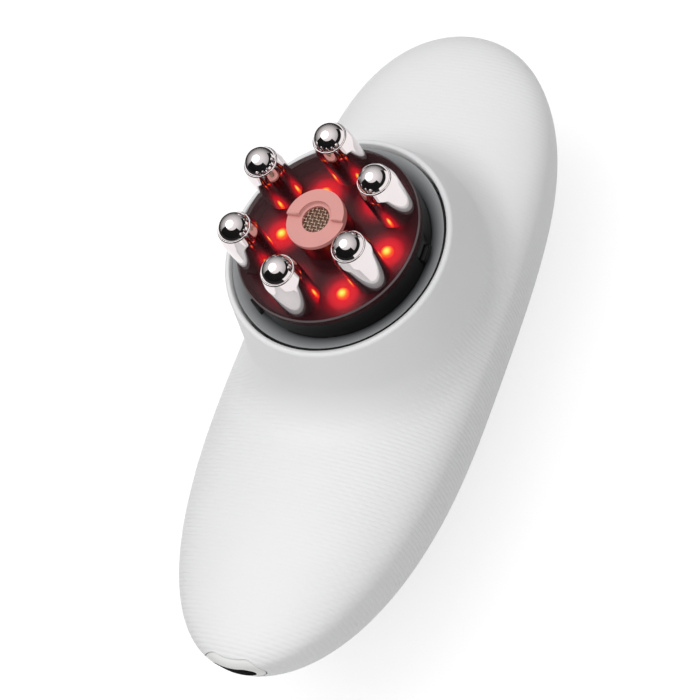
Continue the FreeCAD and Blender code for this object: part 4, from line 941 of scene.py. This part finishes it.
class STIMULATOR_OT_stage(StimulatorStep, bpy.types.Operator):
    """Sets up the white studio: floor, dark cards, lamps, world and camera"""
    bl_idname = "stimulator.stage"
    bl_label = "Studio"

    def execute(self, context):
        scene = context.scene
        scene.view_settings.view_transform = "Standard"
        back, right, up = view_axes()
        side = 4
        corners = [(-side, -side, 0), (side, -side, 0), (side, side, 0), (-side, side, 0)]
        floor = built("studio_floor", corners, [(0, 1, 2, 3)])
        floor.data.materials.append(floor_paint())
        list(dark_cards())
        for name, way, size, power, mirrored in (
                ("key", back * 0.65 - right * 0.62 + up * 0.45, 1.0, look().key_power, True),
                ("fill", back * 0.6 + right * 0.22 - up * 0.8, 0.7, look().fill_power, False)):
            data = bpy.data.lights.new("lamp_" + name, "AREA")
            data.shape = "DISK"
            data.energy = power
            data.size = size
            lamp = bpy.data.objects.new("lamp_" + name, data)
            lamp.location = HEAD + way.normalized()
            lamp.rotation_euler = way.to_track_quat("Z", "Y").to_euler()
            lamp.visible_glossy = mirrored
            scene.collection.objects.link(lamp)
        world = bpy.data.worlds.new("studio_air")
        world.use_nodes = True
        tree = world.node_tree
        height = add(tree, SPLIT, add(tree, COORDINATES).outputs["Generated"]).outputs["Z"]
        light = add(tree, RANGE, height, inputs={"To Min": look().sky_low, "To Max": look().sky_high})
        air = tree.nodes["Background"]
        air.inputs["Color"].default_value = linear("#ffffff")
        tree.links.new(light.outputs[0], air.inputs["Strength"])
        scene.world = world
        data = bpy.data.cameras.new("camera")
        data.lens = look().focal
        data.sensor_width = 36
        data.clip_end = 10
        camera = bpy.data.objects.new("camera", data)
        place = Vector((0, HEAD.y, HEAD_TOP)) + back * VIEW_BACK + right * VIEW_RIGHT - up * VIEW_DOWN
        camera.matrix_world = Matrix.Translation(place) @ Matrix((right, up, back)).transposed().to_4x4()
        scene.collection.objects.link(camera)
        scene.camera = camera
        return {"FINISHED"}


class STIMULATOR_PT_panel(bpy.types.Panel):
    """Settings and building steps of the stimulator"""
    bl_label = "Muscle stimulator"
    bl_idname = "STIMULATOR_PT_panel"
    bl_space_type = "VIEW_3D"
    bl_region_type = "UI"
    bl_category = "Stimulator"

    def draw(self, context):
        settings = context.scene.stimulator
        for name in StimulatorSettings.__annotations__:
            self.layout.prop(settings, name)
        for step in STEPS:
            self.layout.operator(step.bl_idname)


STEPS = (STIMULATOR_OT_housing, STIMULATOR_OT_seat, STIMULATOR_OT_head, STIMULATOR_OT_electrodes,
         STIMULATOR_OT_lamps, STIMULATOR_OT_centre, STIMULATOR_OT_port, STIMULATOR_OT_buttons,
         STIMULATOR_OT_inner, STIMULATOR_OT_stage)
CLASSES = (StimulatorSettings, *STEPS, STIMULATOR_PT_panel)


def register():
    for kind in CLASSES:
        bpy.utils.register_class(kind)
    bpy.types.Scene.stimulator = PointerProperty(type=StimulatorSettings)


def unregister():
    del bpy.types.Scene.stimulator
    for kind in reversed(CLASSES):
        bpy.utils.unregister_class(kind)


def main():
    register()
    FINISHES.update(make_finishes())
    for step in STEPS:
        group, name = step.bl_idname.split(".")
        getattr(getattr(bpy.ops, group), name)()


if __name__ == "__main__":
    main()
